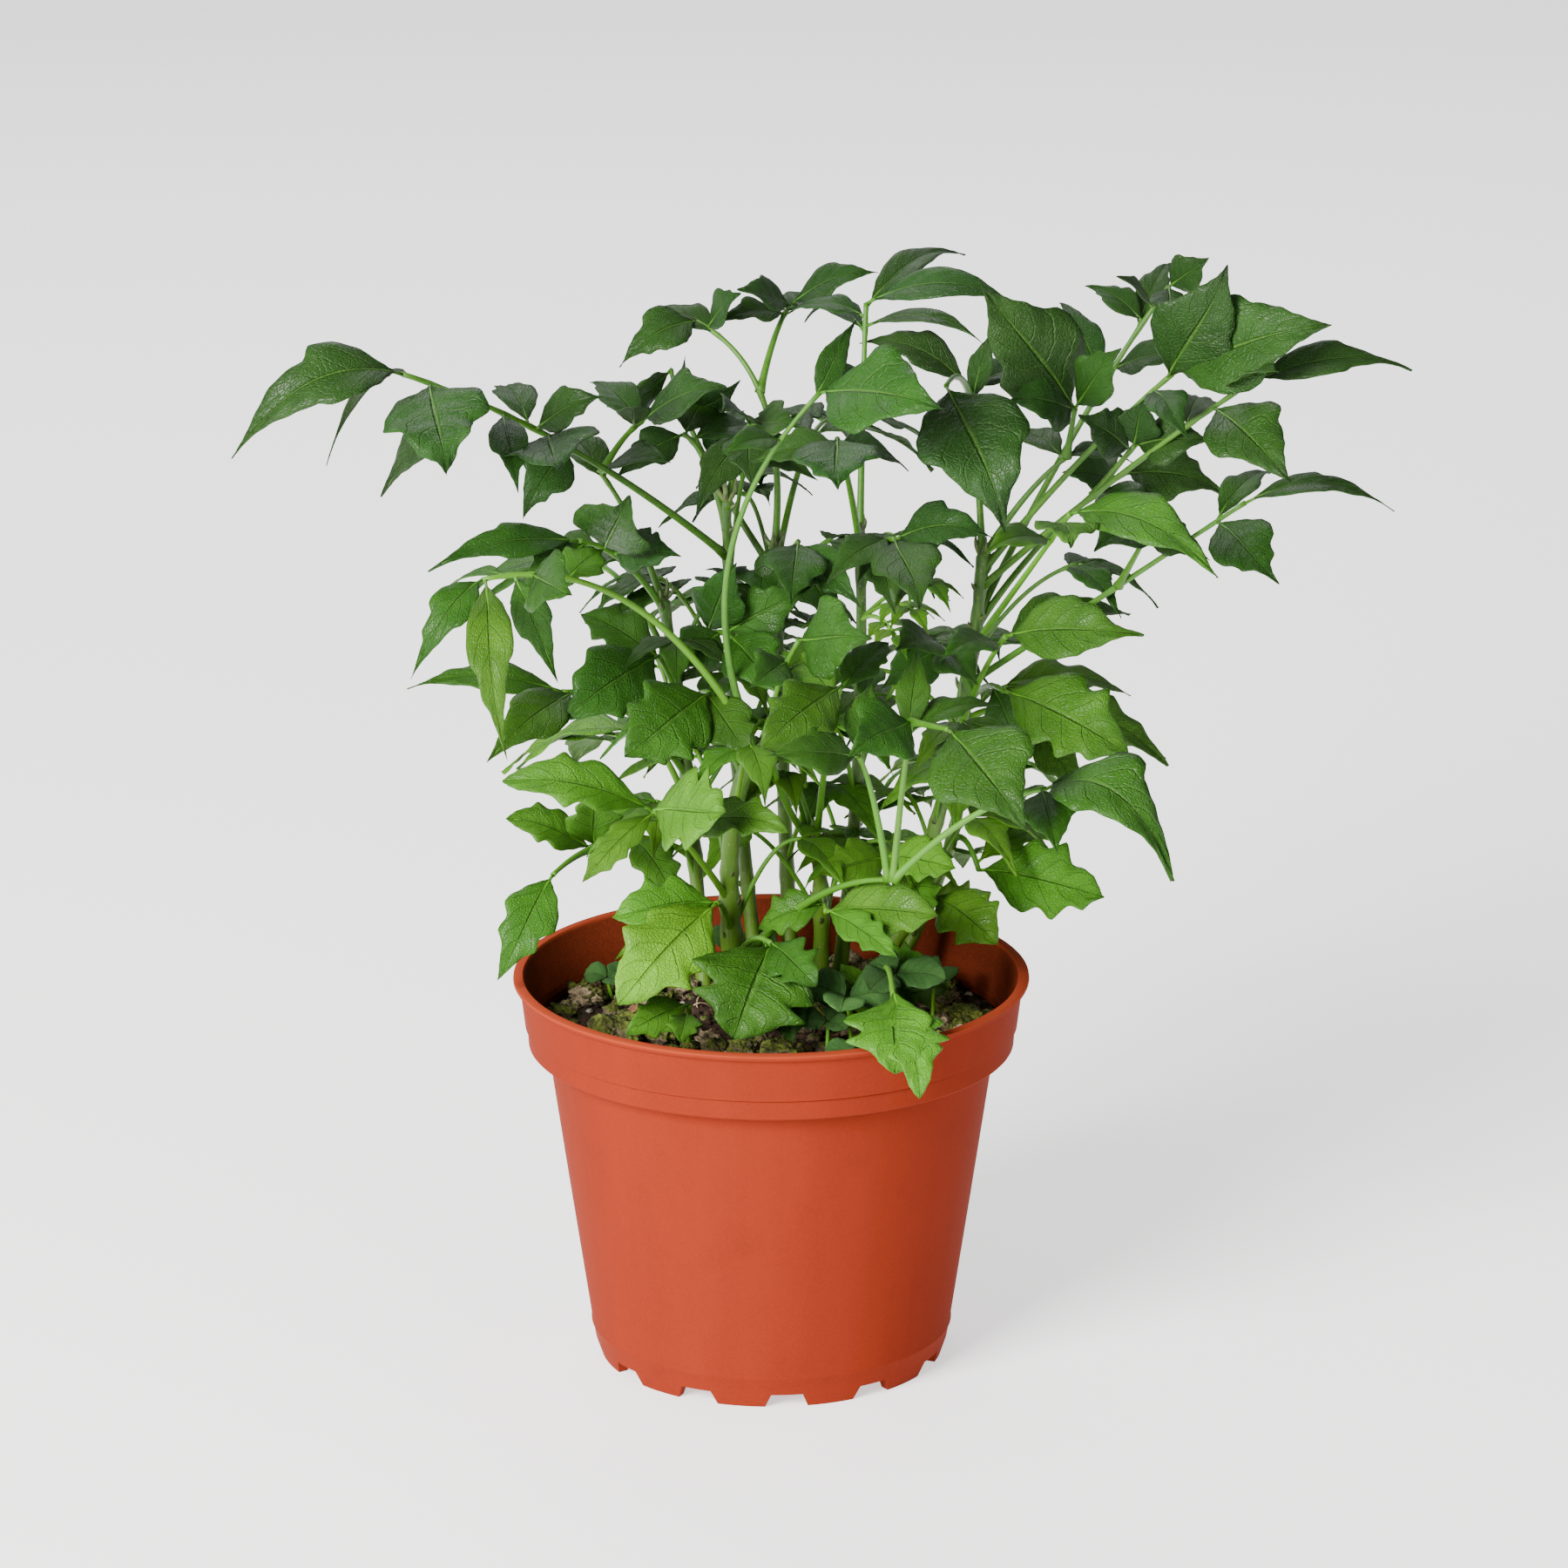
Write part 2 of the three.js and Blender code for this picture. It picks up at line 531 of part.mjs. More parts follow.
function makePot() {
  const shell = solidOf(turned([
    [0, 0],
    [BOSS_RADIUS, 0],
    [BOSS_RADIUS, FLOOR_CLEARANCE],
    [BASE_RADIUS - FOOT_WIDTH, FLOOR_CLEARANCE],
    [BASE_RADIUS - FOOT_WIDTH, 0],
    [BASE_RADIUS, 0],
    [SKIRT_RADIUS - SKIRT_FLARE / 4, SKIRT_HEIGHT / 2],
    [SKIRT_RADIUS, SKIRT_HEIGHT],
    [BODY_RADIUS, BODY_TOP],
    [COLLAR_FOOT_RADIUS, BODY_TOP],
    [COLLAR_FOOT_RADIUS + LEDGE_DEPTH, LEDGE - LEDGE_DEPTH],
    [COLLAR_FOOT_RADIUS + 2 * LEDGE_DEPTH, LEDGE],
    [COLLAR_RADIUS, POT_HEIGHT - LIP_HEIGHT],
    [RIM_RADIUS, POT_HEIGHT - LIP_HEIGHT / 2],
    [RIM_RADIUS, POT_HEIGHT],
    [COLLAR_RADIUS - WALL, POT_HEIGHT],
    [COLLAR_FOOT_RADIUS + 2 * LEDGE_DEPTH - WALL, LEDGE],
    [COLLAR_FOOT_RADIUS - WALL, LEDGE],
    [COLLAR_FOOT_RADIUS - WALL, BODY_TOP + WALL],
    [BODY_RADIUS - WALL, BODY_TOP + WALL],
    [SKIRT_RADIUS - WALL, SKIRT_HEIGHT],
    [BASE_RADIUS - WALL / 2, FLOOR_TOP],
    [0, FLOOR_TOP],
  ]));
  return shell.subtract(join([...footNotches(), ...drainHoles()]));
}

function footNotches() {
  const outline = new THREE.Shape([
    new THREE.Vector2(-NOTCH_WIDTH / 2, -1),
    new THREE.Vector2(NOTCH_WIDTH / 2, -1),
    new THREE.Vector2(NOTCH_WIDTH / 2 - NOTCH_SLOPE, NOTCH_HEIGHT),
    new THREE.Vector2(NOTCH_SLOPE - NOTCH_WIDTH / 2, NOTCH_HEIGHT),
  ]);
  return Array.from({ length: NOTCHES }, (_, i) => {
    const cutter = new THREE.ExtrudeGeometry(outline, { depth: 4 * FOOT_WIDTH, bevelEnabled: false });
    cutter.rotateX(Math.PI / 2);
    cutter.translate(0, FOOT_WIDTH - BASE_RADIUS + FOOT_WIDTH, 0);
    cutter.rotateZ(THREE.MathUtils.degToRad(NOTCH_TURN) + (2 * Math.PI * i) / NOTCHES);
    return solidOf(cutter);
  });
}

function drainHoles() {
  return Array.from({ length: DRAIN_HOLES }, (_, i) => {
    const angle = (2 * Math.PI * i) / DRAIN_HOLES;
    const drill = new THREE.CylinderGeometry(DRAIN_RADIUS, DRAIN_RADIUS, 4 * WALL, 16);
    drill.rotateX(Math.PI / 2);
    drill.translate(
      DRAIN_CIRCLE * Math.cos(angle),
      DRAIN_CIRCLE * Math.sin(angle),
      FLOOR_CLEARANCE + WALL / 2,
    );
    return solidOf(drill);
  });
}

// ---------------------------------------------------------------- soil and stones

// A repeatable, smooth unevenness between -1 and 1.
function unevenness(x, y, z = 0) {
  return Math.sin(0.31 * x + 0.7 * z) * Math.cos(0.27 * y - 0.4 * z) * 0.6
    + Math.sin(0.11 * x - 0.19 * y + 1.3) * 0.4;
}

// The profile of the room inside the pot, from its floor up to the shelf under the collar.
function roomProfile() {
  const innerRadius = (height) => {
    const share = (height - SKIRT_HEIGHT) / (BODY_TOP - SKIRT_HEIGHT);
    return THREE.MathUtils.lerp(SKIRT_RADIUS, BODY_RADIUS, share) - WALL - GAP;
  };
  const shelf = BODY_TOP + WALL + GAP;
  return [
    [0, FLOOR_TOP + GAP],
    [BASE_RADIUS - WALL - GAP, FLOOR_TOP + GAP],
    [innerRadius(SKIRT_HEIGHT), SKIRT_HEIGHT],
    [innerRadius(shelf), shelf],
    [COLLAR_FOOT_RADIUS - WALL - GAP, shelf],
  ];
}

// The pot's wall and floor with their clearance, which nothing planted runs into.
function potClearance() {
  return solidOf(turned([
    [0, -GAP],
    [RIM_RADIUS + GAP, -GAP],
    [RIM_RADIUS + GAP, POT_HEIGHT + GAP],
    [COLLAR_RADIUS - WALL - GAP, POT_HEIGHT + GAP],
    [COLLAR_FOOT_RADIUS + 2 * LEDGE_DEPTH - WALL - GAP, LEDGE],
    [COLLAR_FOOT_RADIUS - WALL - GAP, LEDGE],
    ...roomProfile().reverse(),
  ]));
}

function makeSoil(cutters) {
  const edge = COLLAR_FOOT_RADIUS - WALL - GAP;
  const profile = [...roomProfile(), [edge, SOIL_TOP]];
  for (let ring = 1; ring <= SOIL_RINGS; ring += 1) {
    profile.push([edge * (1 - ring / SOIL_RINGS), SOIL_TOP]);
  }
  const geometry = turned(profile);
  const place = geometry.attributes.position;
  for (let i = 0; i < place.count; i += 1) {
    const [x, y, z] = [place.getX(i), place.getY(i), place.getZ(i)];
    const inland = Math.hypot(x, y) < edge - 1;
    if (inland && z > SOIL_TOP - 0.01) place.setZ(i, SOIL_TOP + SOIL_RELIEF * unevenness(x, y));
  }
  return cutters.reduce((soil, cutter) => soil.subtract(cutter), solidOf(geometry));
}

function makeStone({ at, radius: drawnRadius }, grow) {
  const { x, y } = spot(at);
  const radius = drawnRadius * SPREAD;
  const geometry = new THREE.IcosahedronGeometry(radius + grow, 1);
  const place = geometry.attributes.position;
  const corner = new THREE.Vector3();
  for (let i = 0; i < place.count; i += 1) {
    corner.fromBufferAttribute(place, i);
    const unit = corner.clone().normalize().multiplyScalar(STONE_GRAIN);
    const swell = 1 + STONE_ROUGHNESS * unevenness(unit.x + at[0], unit.y + at[1], unit.z);
    place.setXYZ(i, corner.x * swell, corner.y * swell, corner.z * swell * STONE_FLATNESS);
  }
  return solidOf(geometry.translate(x, y, SOIL_TOP + radius * STONE_FLATNESS * STONE_RISE));
}

// ---------------------------------------------------------------- stems, stalks and leaflets

// The curve that leaves `start`, is at `middle` half way, and ends at `end`.
function curveThrough(start, middle, end) {
  const control = middle.clone().multiplyScalar(2).addScaledVector(start, -0.5).addScaledVector(end, -0.5);
  return new THREE.QuadraticBezierCurve3(start, control, end);
}

// Bends a tapered cylinder along the curve between two of its places.
function tubeAlong(curve, [from, to], [startRadius, endRadius], sides, steps) {
  const geometry = new THREE.CylinderGeometry(1, 1, 1, sides, steps);
  const place = geometry.attributes.position;
  const vertex = new THREE.Vector3();
  for (let i = 0; i < place.count; i += 1) {
    vertex.fromBufferAttribute(place, i);
    const share = vertex.y + 0.5;
    const where = THREE.MathUtils.lerp(from, to, share);
    const ahead = curve.getPoint(where + 0.01).sub(curve.getPoint(where - 0.01)).normalize();
    const side = new THREE.Vector3(0.1, 1, 0.05).cross(ahead).normalize();
    const radius = THREE.MathUtils.lerp(startRadius, endRadius, share);
    const corner = curve.getPoint(where)
      .addScaledVector(side, vertex.x * radius)
      .addScaledVector(side.clone().cross(ahead), vertex.z * radius);
    place.setXYZ(i, corner.x, corner.y, corner.z);
  }
  return solidOf(geometry);
}

function stemCurve({ foot, middle, top }) {
  return curveThrough(spot(foot), spot(middle), spot(top));
}

function makeStem(stem, grow) {
  const radii = stem.radius.map((radius) => radius + grow);
  const ends = [-ROOT_SHARE - grow / 100, 1 + grow / 100];
  return tubeAlong(stemCurve(stem), ends, radii, STEM_SIDES, STEM_STEPS);
}

// A leaflet: thickest along its midrib, thin at its edges, bowed between its base and its tip.
function makeBlade(joint, [tip, width, face, bow = BLADE_BOW], grow) {
  const turn = THREE.MathUtils.degToRad(face);
  const up = new THREE.Vector3(0, -Math.sin(turn), Math.cos(turn));
  const along = tip.clone().sub(joint);
  const length = along.length();
  along.normalize();
  const far = tip.clone().addScaledVector(along, grow);
  const middle = joint.clone().lerp(tip, 0.5).addScaledVector(up, bow * length);
  const curve = curveThrough(joint, middle, far);
  const side = up.clone().cross(along).normalize();
  const normal = along.clone().cross(side);
  const geometry = new THREE.SphereGeometry(1, BLADE_SIDES, BLADE_OUTLINE.length - 1);
  const place = geometry.attributes.position;
  for (let i = 0; i < place.count; i += 1) {
    const row = Math.floor(i / (BLADE_SIDES + 1));
    const [share, breadth] = BLADE_OUTLINE[row];
    const ring = breadth === 0 ? 0 : 1 / Math.hypot(place.getX(i), place.getZ(i));
    const halfWidth = (breadth * width) / 2 + (grow > 0 ? BLADE_EDGE_GAP : 0);
    const corner = curve.getPoint(row === 0 ? -(BLADE_ROOT + 2 * grow) / length : share)
      .addScaledVector(side, place.getX(i) * ring * halfWidth)
      .addScaledVector(normal, place.getZ(i) * ring * (BLADE_THICKNESS / 2 + grow));
    place.setXYZ(i, corner.x, corner.y, corner.z);
  }
  return solidOf(geometry);
}

// Opposite leaflets and one at the end, for a stalk whose leaflets aren't listed.
function pairedBlades(curve, pairs, length) {
  const blades = [];
  const aim = (where, swing, droop) => {
    const fall = THREE.MathUtils.degToRad(droop);
    const tip = curve.getPoint(where);
    const ahead = curve.getTangent(where).setZ(0).normalize();
    ahead.applyAxisAngle(new THREE.Vector3(0, 0, 1), THREE.MathUtils.degToRad(swing));
    tip.addScaledVector(ahead, length * Math.cos(fall));
    tip.z -= length * Math.sin(fall);
    return [where, tip, length * PAIR_SLIMNESS, 0];
  };
  blades.push(aim(1, 0, END_DROOP));
  for (let pair = 0; pair < pairs; pair += 1) {
    const where = 0.9 - (0.4 * pair) / pairs;
    blades.push(aim(where, PAIR_SWING, PAIR_DROOP), aim(where, -PAIR_SWING, PAIR_DROOP));
  }
  return blades;
}

// The stalk from `start` with its leaflets, and the side stalks that grow from it.
function makeSpray(spray, start, startRadius, grow) {
  const end = spot(spray.end);
  const middle = spray.via
    ? spot(spray.via)
    : start.clone().lerp(end, 0.5).add(new THREE.Vector3(0, 0, spray.arch));
  const curve = curveThrough(start, middle, end);
  const radii = [startRadius + grow, STALK_TIP_RADIUS + grow];
  const span = start.distanceTo(end);
  const ends = [-grow / span, 1 + (STALK_OVERRUN + grow) / span];
  const pieces = [tubeAlong(curve, ends, radii, STALK_SIDES, STALK_STEPS)];
  const blades = spray.blades
    ? spray.blades.map(([where, x, y, z, ...shape]) => [where, spot([x, y, z]), ...shape])
    : pairedBlades(curve, spray.pairs, spray.length);
  for (const [where, ...blade] of blades) pieces.push(makeBlade(curve.getPoint(where), blade, grow));
  for (const branch of spray.sprays ?? []) {
    pieces.push(makeSpray(branch, curve.getPoint(branch.from), STALK_RADIUS, grow));
  }
  return join(pieces);
}

function makeLeaf(leaf, grow) {
  const stem = STEMS.find(({ name }) => name === leaf.stem);
  return makeSpray(leaf, stemCurve(stem).getPoint(leaf.from), leaf.radius ?? STALK_RADIUS, grow);
}

function makeSeedling(seedling, grow) {
  const root = spot(seedling.foot);
  root.z -= SEEDLING_DEPTH;
  return makeSpray(seedling, root, STALK_RADIUS, grow);
}

// ---------------------------------------------------------------- the plant

// Makes each piece in turn, clear of those before it, and adds it with its clearance to `taken`.
function addPieces(plant, items, make, kind, taken) {
  for (const item of items) {
    plant.add(meshOf(item.name, clearOf(make(item, 0), taken), kind));
    taken.push(make(item, GAP));
  }
}

const plant = new THREE.Group();
const taken = [potClearance()];
addPieces(plant, STONES, makeStone, "stone", taken);
addPieces(plant, STEMS, makeStem, "stem", taken);
addPieces(plant, SEEDLINGS, makeSeedling, "leaf", taken);
const buried = taken.slice(1);
addPieces(plant, LEAVES, makeLeaf, "leaf", taken);
plant.add(meshOf("soil", largestOf(makeSoil(buried)), "soil"));
plant.add(meshOf("pot", makePot(), "pot"));

export default plant;
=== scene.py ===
"""Potted china doll plant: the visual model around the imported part.

Lengths in the tables are millimetres in the part's own frame: +Z up, the front towards -Y, the
origin at the centre of the pot's base. Constants and meshes are in metres.
"""

import math
import random

import bmesh
import bpy
from bpy.props import FloatProperty, FloatVectorProperty, IntProperty, PointerProperty
from mathutils import Matrix, Vector, noise


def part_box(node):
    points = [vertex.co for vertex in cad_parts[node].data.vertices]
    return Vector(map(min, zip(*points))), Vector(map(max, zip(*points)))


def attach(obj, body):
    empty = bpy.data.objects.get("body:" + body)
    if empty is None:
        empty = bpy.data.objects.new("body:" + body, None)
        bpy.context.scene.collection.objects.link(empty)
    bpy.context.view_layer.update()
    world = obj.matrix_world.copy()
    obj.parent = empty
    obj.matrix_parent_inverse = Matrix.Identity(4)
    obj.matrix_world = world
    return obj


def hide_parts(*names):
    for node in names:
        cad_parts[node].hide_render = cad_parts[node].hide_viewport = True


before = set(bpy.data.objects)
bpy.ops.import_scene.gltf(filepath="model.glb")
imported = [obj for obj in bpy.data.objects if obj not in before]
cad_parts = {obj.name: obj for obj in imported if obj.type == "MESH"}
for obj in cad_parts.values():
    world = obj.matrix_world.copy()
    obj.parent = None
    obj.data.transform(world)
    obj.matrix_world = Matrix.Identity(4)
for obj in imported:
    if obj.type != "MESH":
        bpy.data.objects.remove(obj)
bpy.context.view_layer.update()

bl_info = {
    "name": "Potted China Doll Plant",
    "version": (1, 0, 0),
    "blender": (4, 5, 0),
    "location": "View3D > Sidebar > China Doll",
    "description": "Grows a young china doll plant in a terracotta-coloured nursery pot",
    "category": "Add Mesh",
}

MM = 0.001
POT_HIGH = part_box("pot")[1]
SOIL_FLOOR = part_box("soil")[0].z

# ---------------------------------------------------------------- what grows where

# The level of the soil's surface.
SOIL_TOP = 100

STONES = [
    {"name": "stone_left", "at": [-47, -20], "radius": 9},
    {"name": "stone_right", "at": [58, -6], "radius": 8},
    {"name": "stone_front", "at": [-1, -56], "radius": 6},
    {"name": "stone_back", "at": [48, 34], "radius": 7},
]

# A stem leans from its foot through its middle to its top, and thins from the first radius to the
# second.
STEMS = [
    {"name": "stem_left", "foot": [-9, 12], "middle": [-12, 5, 153], "top": [-4, -6, 188],
     "radius": [3, 2.4]},
    {"name": "stem_middle", "foot": [14, 30], "middle": [15, 28, 128], "top": [13, 22, 151],
     "radius": [2.6, 2]},
    {"name": "stem_tall", "foot": [20, 38], "middle": [26, 42, 170], "top": [26, 30, 245],
     "radius": [2.4, 1.4]},
    {"name": "stem_right", "foot": [28, 20], "middle": [52, 30, 165], "top": [62, 22, 240],
     "radius": [2.6, 1.6]},
    {"name": "stem_outer_left", "foot": [-20, 28], "middle": [-25, 38, 166], "top": [-32, 36, 222],
     "radius": [2.4, 1.5]},
    {"name": "stem_budding", "foot": [-4, 42], "middle": [-11, 52, 178], "top": [-13, 46, 250],
     "radius": [2.4, 1.2]},
    {"name": "stem_back", "foot": [6, 52], "middle": [3, 64, 175], "top": [1, 58, 232],
     "radius": [2.5, 1.5]},
    {"name": "stem_back_right", "foot": [34, 38], "middle": [54, 48, 142], "top": [58, 60, 186],
     "radius": [1.9, 1.3]},
]


def stalk(share, end, blades=(), arch=0, **more):
    """A stalk that grows from a share of its parent's length to its end."""
    return {"from": share, "end": end, "blades": blades, "arch": arch, **more}


def leaf(name, stem, share, end, **more):
    """A named leaf, whose main stalk grows from a share of its stem's length."""
    return {"name": name, "stem": stem, **stalk(share, end, **more)}


def seedling(name, foot, end, **more):
    """A named seedling, whose stalk stands in the soil at its foot."""
    return {"name": name, "foot": foot, **stalk(0, end, **more)}


# A blade is a leaflet: the share of the stalk at which it joins, the place of its tip (x, y, z), its
# width, how many degrees its face is turned from upwards towards the front and, on some, how far it
# bows, as a share of its length. A stalk with pairs has that many pairs of leaflets of the length
# given, and one at its end.
LEAVES = [
    leaf("leaf_front_right", "stem_left", 0.12, [35, -40, 158], arch=8, radius=2.1,
         sprays=[
             stalk(0.97, [25, -50, 198], arch=5,
                   blades=[[1, -1, -72, 205, 13, 60], [0.95, 29, -30, 216, 11, 60]]),
             stalk(1, [40, -42, 206], arch=4,
                   blades=[[1, 22, -70, 204, 19, 65], [0.9, 66, -22, 205, 9, 20],
                           [0.85, 42, -18, 221, 9, 40]],
                   sprays=[
                       stalk(1, [50, -60, 209], blades=[[1, 71, -95, 190, 28, 62]]),
                   ]),
             stalk(1, [78, -55, 190], arch=5,
                   blades=[[1, 113, -85, 172, 24, 32, 0.36], [0.97, 80, -88, 181, 15, 60],
                           [0.88, 70, -20, 170, 12, 30]]),
         ]),
    leaf("leaf_glossy_top", "stem_left", 0.98, [14, -20, 297], via=[-12, -14, 246], radius=1.5,
         blades=[[1, 48, -66, 303, 25, 60], [0.98, 25, 4, 313, 8, 80],
                 [0.85, -14, -36, 283, 9, 40]]),
    leaf("leaf_drooping", "stem_left", 0.98, [-82, -35, 246], via=[-40, -18, 234], radius=1.6,
         blades=[[1, -102, -50, 221, 11, 45, 0.24], [0.99, -74, -68, 202, 12, 60, 0.26],
                 [0.9, -61, -24, 212, 10, 60], [0.84, -56, -66, 250, 17, 75],
                 [0.72, -48, -8, 248, 12, 50], [0.93, -98, -6, 230, 7, 20]]),
    leaf("leaf_bottom_front", "stem_left", 0.14, [0, -25, 134], arch=4,
         blades=[[1, -11, -52, 114, 28, 68], [0.95, 13, -46, 128, 12, 55],
                 [0.8, 6, -44, 110, 16, 60]]),
    leaf("leaf_bottom_left", "stem_left", 0.22, [-16, -12, 142], arch=3,
         blades=[[1, -44, -48, 123, 23, 60], [0.9, -46, -22, 141, 17, 50],
                 [0.8, -46, 8, 118, 9, 30]]),
    leaf("leaf_pale_left", "stem_left", 0.32, [-34, -27, 175], arch=2,
         blades=[[1, -77, -40, 188, 15, 50, 0.2], [1, -13, -58, 184, 23, 62],
                 [0.97, -54, -48, 160, 9, 50], [0.85, -52, 2, 154, 11, 30],
                 [0.75, 5, -48, 175, 13, 45]]),
    leaf("leaf_green_right", "stem_middle", 0.55, [16, -20, 142], arch=3,
         blades=[[1, 48, -42, 148, 18, 52], [0.95, 36, -56, 140, 10, 60],
                 [0.8, -4, -6, 132, 12, 50]]),
    leaf("leaf_centre_front", "stem_middle", 0.95, [20, -34, 214], arch=8,
         blades=[[1, -3, -66, 205, 18, 60], [0.92, 34, -12, 221, 11, 40],
                 [0.85, 2, 2, 214, 12, 50]]),
    leaf("leaf_pale_centre", "stem_middle", 0.9, [8, -20, 224], via=[0, -2, 186],
         blades=[[1, 28, -52, 233, 21, 72], [0.9, -6, -34, 214, 13, 60],
                 [0.85, 24, 8, 210, 10, 30]]),
    leaf("leaf_far_left", "stem_budding", 0.86, [-105, -10, 300], arch=6, radius=1.5,
         blades=[[1, -153, -25, 279, 19, 40, 0.3], [0.97, -130, 24, 265, 8, 5, 0.2],
                 [0.92, -91, -48, 280, 27, 75], [0.8, -114, 20, 256, 13, 55],
                 [0.7, -72, -22, 268, 10, 60], [0.62, -80, 52, 280, 11, 10],
                 [0.56, -60, -34, 278, 25, 70], [0.5, -72, 10, 252, 14, 60],
                 [0.6, -48, 4, 290, 12, 50]]),
    leaf("leaf_left_back", "stem_outer_left", 0.97, [-50, 44, 257], arch=4,
         blades=[[1, -29, 14, 268, 12, 35], [0.9, -62, 74, 262, 10, 40]],
         sprays=[
             stalk(1, [-38, 56, 270], arch=2,
                   blades=[[1, -13, 34, 286, 16, 45], [0.95, -54, 80, 276, 11, 30],
                           [0.8, -40, 30, 280, 9, 40]]),
         ]),
    leaf("leaf_top_left", "stem_back", 0.98, [-22, 78, 295], via=[-2, 62, 274],
         blades=[[1, -45, 66, 284, 14, 45, 0.24], [0.94, -9, 60, 308, 11, 50],
                 [0.88, -36, 100, 294, 9, 40]],
         sprays=[
             stalk(0.55, [6, 92, 297], arch=4,
                   blades=[[1, 32, 82, 309, 11, 40, 0.18], [0.97, -10, 74, 306, 11, 50],
                           [0.8, -16, 70, 296, 9, 40], [0.8, 18, 116, 290, 10, 20]]),
         ]),
    leaf("leaf_olive_back", "stem_back", 0.9, [-30, 88, 278], via=[-20, 74, 255],
         blades=[[1, -49, 74, 270, 12, 120], [0.75, -9, 62, 281, 12, 110],
                 [0.7, -26, 114, 276, 11, 100], [0.45, -8, 104, 262, 12, 30]]),
    leaf("leaf_spear_top", "stem_tall", 0.98, [28, 50, 307], arch=8,
         blades=[[1, 73, 36, 309, 12, 35, 0.2], [0.97, 58, 84, 314, 10, 20],
                 [0.9, 4, 62, 301, 9, 20], [0.84, 62, 24, 301, 8, 20], [0.8, 10, 92, 292, 9, 20],
                 [0.6, 18, 20, 286, 12, 60]]),
    leaf("leaf_crown_right", "stem_right", 0.86, [117, 54, 311], via=[92, 50, 272],
         blades=[[1, 128, 44, 322, 11, 70], [1, 116, 24, 307, 10, 75], [0.84, 93, 68, 308, 9, 30],
                 [0.8, 120, 84, 312, 8, 10], [0.66, 122, 34, 294, 11, 45],
                 [0.6, 86, 84, 300, 10, 25], [0.9, 101, 46, 316, 7, 30]]),
    leaf("leaf_dark_top", "stem_right", 0.98, [58, 40, 284], arch=8,
         blades=[[1, 26, 50, 295, 12, 35, 0.24], [0.95, 82, 68, 281, 10, 30],
                 [0.8, 64, 34, 302, 7, 30]],
         sprays=[
             stalk(0.9, [50, -12, 297], arch=4, blades=[[1, 66, -44, 262, 29, 62]]),
         ]),
    leaf("leaf_upper_right", "stem_right", 0.98, [86, 20, 268], arch=3,
         blades=[[0.97, 66, 58, 262, 11, 20], [1, 106, 30, 264, 8, 20]],
         sprays=[
             stalk(1, [88, 14, 284],
                   blades=[[1, 100, -8, 307, 13, 60], [0.98, 68, -6, 291, 17, 60],
                           [0.98, 60, 0, 324, 26, 60]]),
         ]),
    leaf("leaf_right_top", "stem_right", 0.95, [115, -2, 298], arch=3,
         blades=[[0.97, 129, -20, 334, 23, 70], [1, 158, -30, 319, 25, 60],
                 [0.9, 118, -36, 287, 11, 50]]),
    leaf("leaf_far_right", "stem_right", 0.92, [137, -15, 299], arch=2,
         blades=[[1, 183, -10, 301, 11, 40, 0.16], [0.93, 142, -46, 309, 13, 40],
                 [0.86, 146, -50, 278, 21, 60], [0.76, 128, 30, 282, 12, 30]],
         sprays=[
             stalk(0.42, [105, 6, 275],
                   blades=[[1, 126, -4, 279, 15, 55], [0.97, 107, 0, 290, 13, 60],
                           [0.9, 88, -6, 287, 14, 60]]),
         ]),
    leaf("leaf_dark_right", "stem_right", 0.84, [104, 40, 258], arch=5,
         blades=[[1, 133, 34, 253, 17, 50, 0.2], [0.9, 88, 72, 250, 15, 40],
                 [0.8, 112, 10, 250, 13, 50], [0.95, 85, 26, 262, 11, 60]]),
    leaf("leaf_bright_arch", "stem_right", 0.8, [85, -30, 264],
         blades=[[1, 125, -70, 256, 17, 45, 0.24], [0.92, 83, -74, 266, 17, 60],
                 [0.8, 60, -46, 256, 10, 40]]),
    leaf("leaf_right_long", "stem_right", 0.72, [136, -10, 262],
         blades=[[1, 178, -20, 262, 9, 25, 0.2], [0.9, 146, 26, 262, 9, 20],
                 [0.9, 144, -40, 246, 17, 60]],
         sprays=[
             stalk(0.55, [108, -6, 251],
                   blades=[[1, 126, -14, 246, 11, 40], [1, 92, -26, 252, 13, 40]]),
         ]),
    leaf("leaf_right_middle", "stem_right", 0.62, [68, -5, 221], arch=3,
         blades=[[1, 107, -22, 226, 19, 50], [0.95, 106, 24, 220, 14, 40],
                 [0.85, 48, -34, 222, 12, 40]],
         sprays=[
             stalk(0.3, [49, 16, 213], arch=2,
                   blades=[[1, 36, -12, 219, 15, 50], [0.95, 60, -4, 206, 13, 60],
                           [0.9, 32, 6, 202, 14, 65]]),
         ]),
    leaf("leaf_right_big", "stem_back_right", 0.94, [68, 14, 199], arch=4,
         blades=[[1, 104, -15, 188, 25, 55], [0.9, 107, 40, 190, 11, 30],
                 [0.85, 117, 14, 176, 13, 45], [0.7, 76, 30, 172, 14, 60]]),
    leaf("leaf_dark_centre", "stem_outer_left", 0.8, [-12, 14, 216], arch=4,
         blades=[[1, 3, -12, 205, 17, 65], [0.92, 12, 14, 231, 14, 65],
                 [0.85, -29, 10, 205, 14, 50], [0.6, -10, 6, 240, 15, 65]]),
    leaf("leaf_dark_left", "stem_outer_left", 0.62, [-18, -2, 203], arch=4,
         blades=[[1, -42, -30, 192, 24, 65], [0.9, -6, -26, 190, 14, 70]],
         sprays=[
             stalk(0.1, [-33, 20, 208], arch=2,
                   blades=[[1, -60, -2, 195, 21, 62], [0.9, -56, 30, 218, 14, 50]]),
         ]),
    leaf("leaf_left_lobed", "stem_outer_left", 0.95, [-56, 12, 245], arch=5,
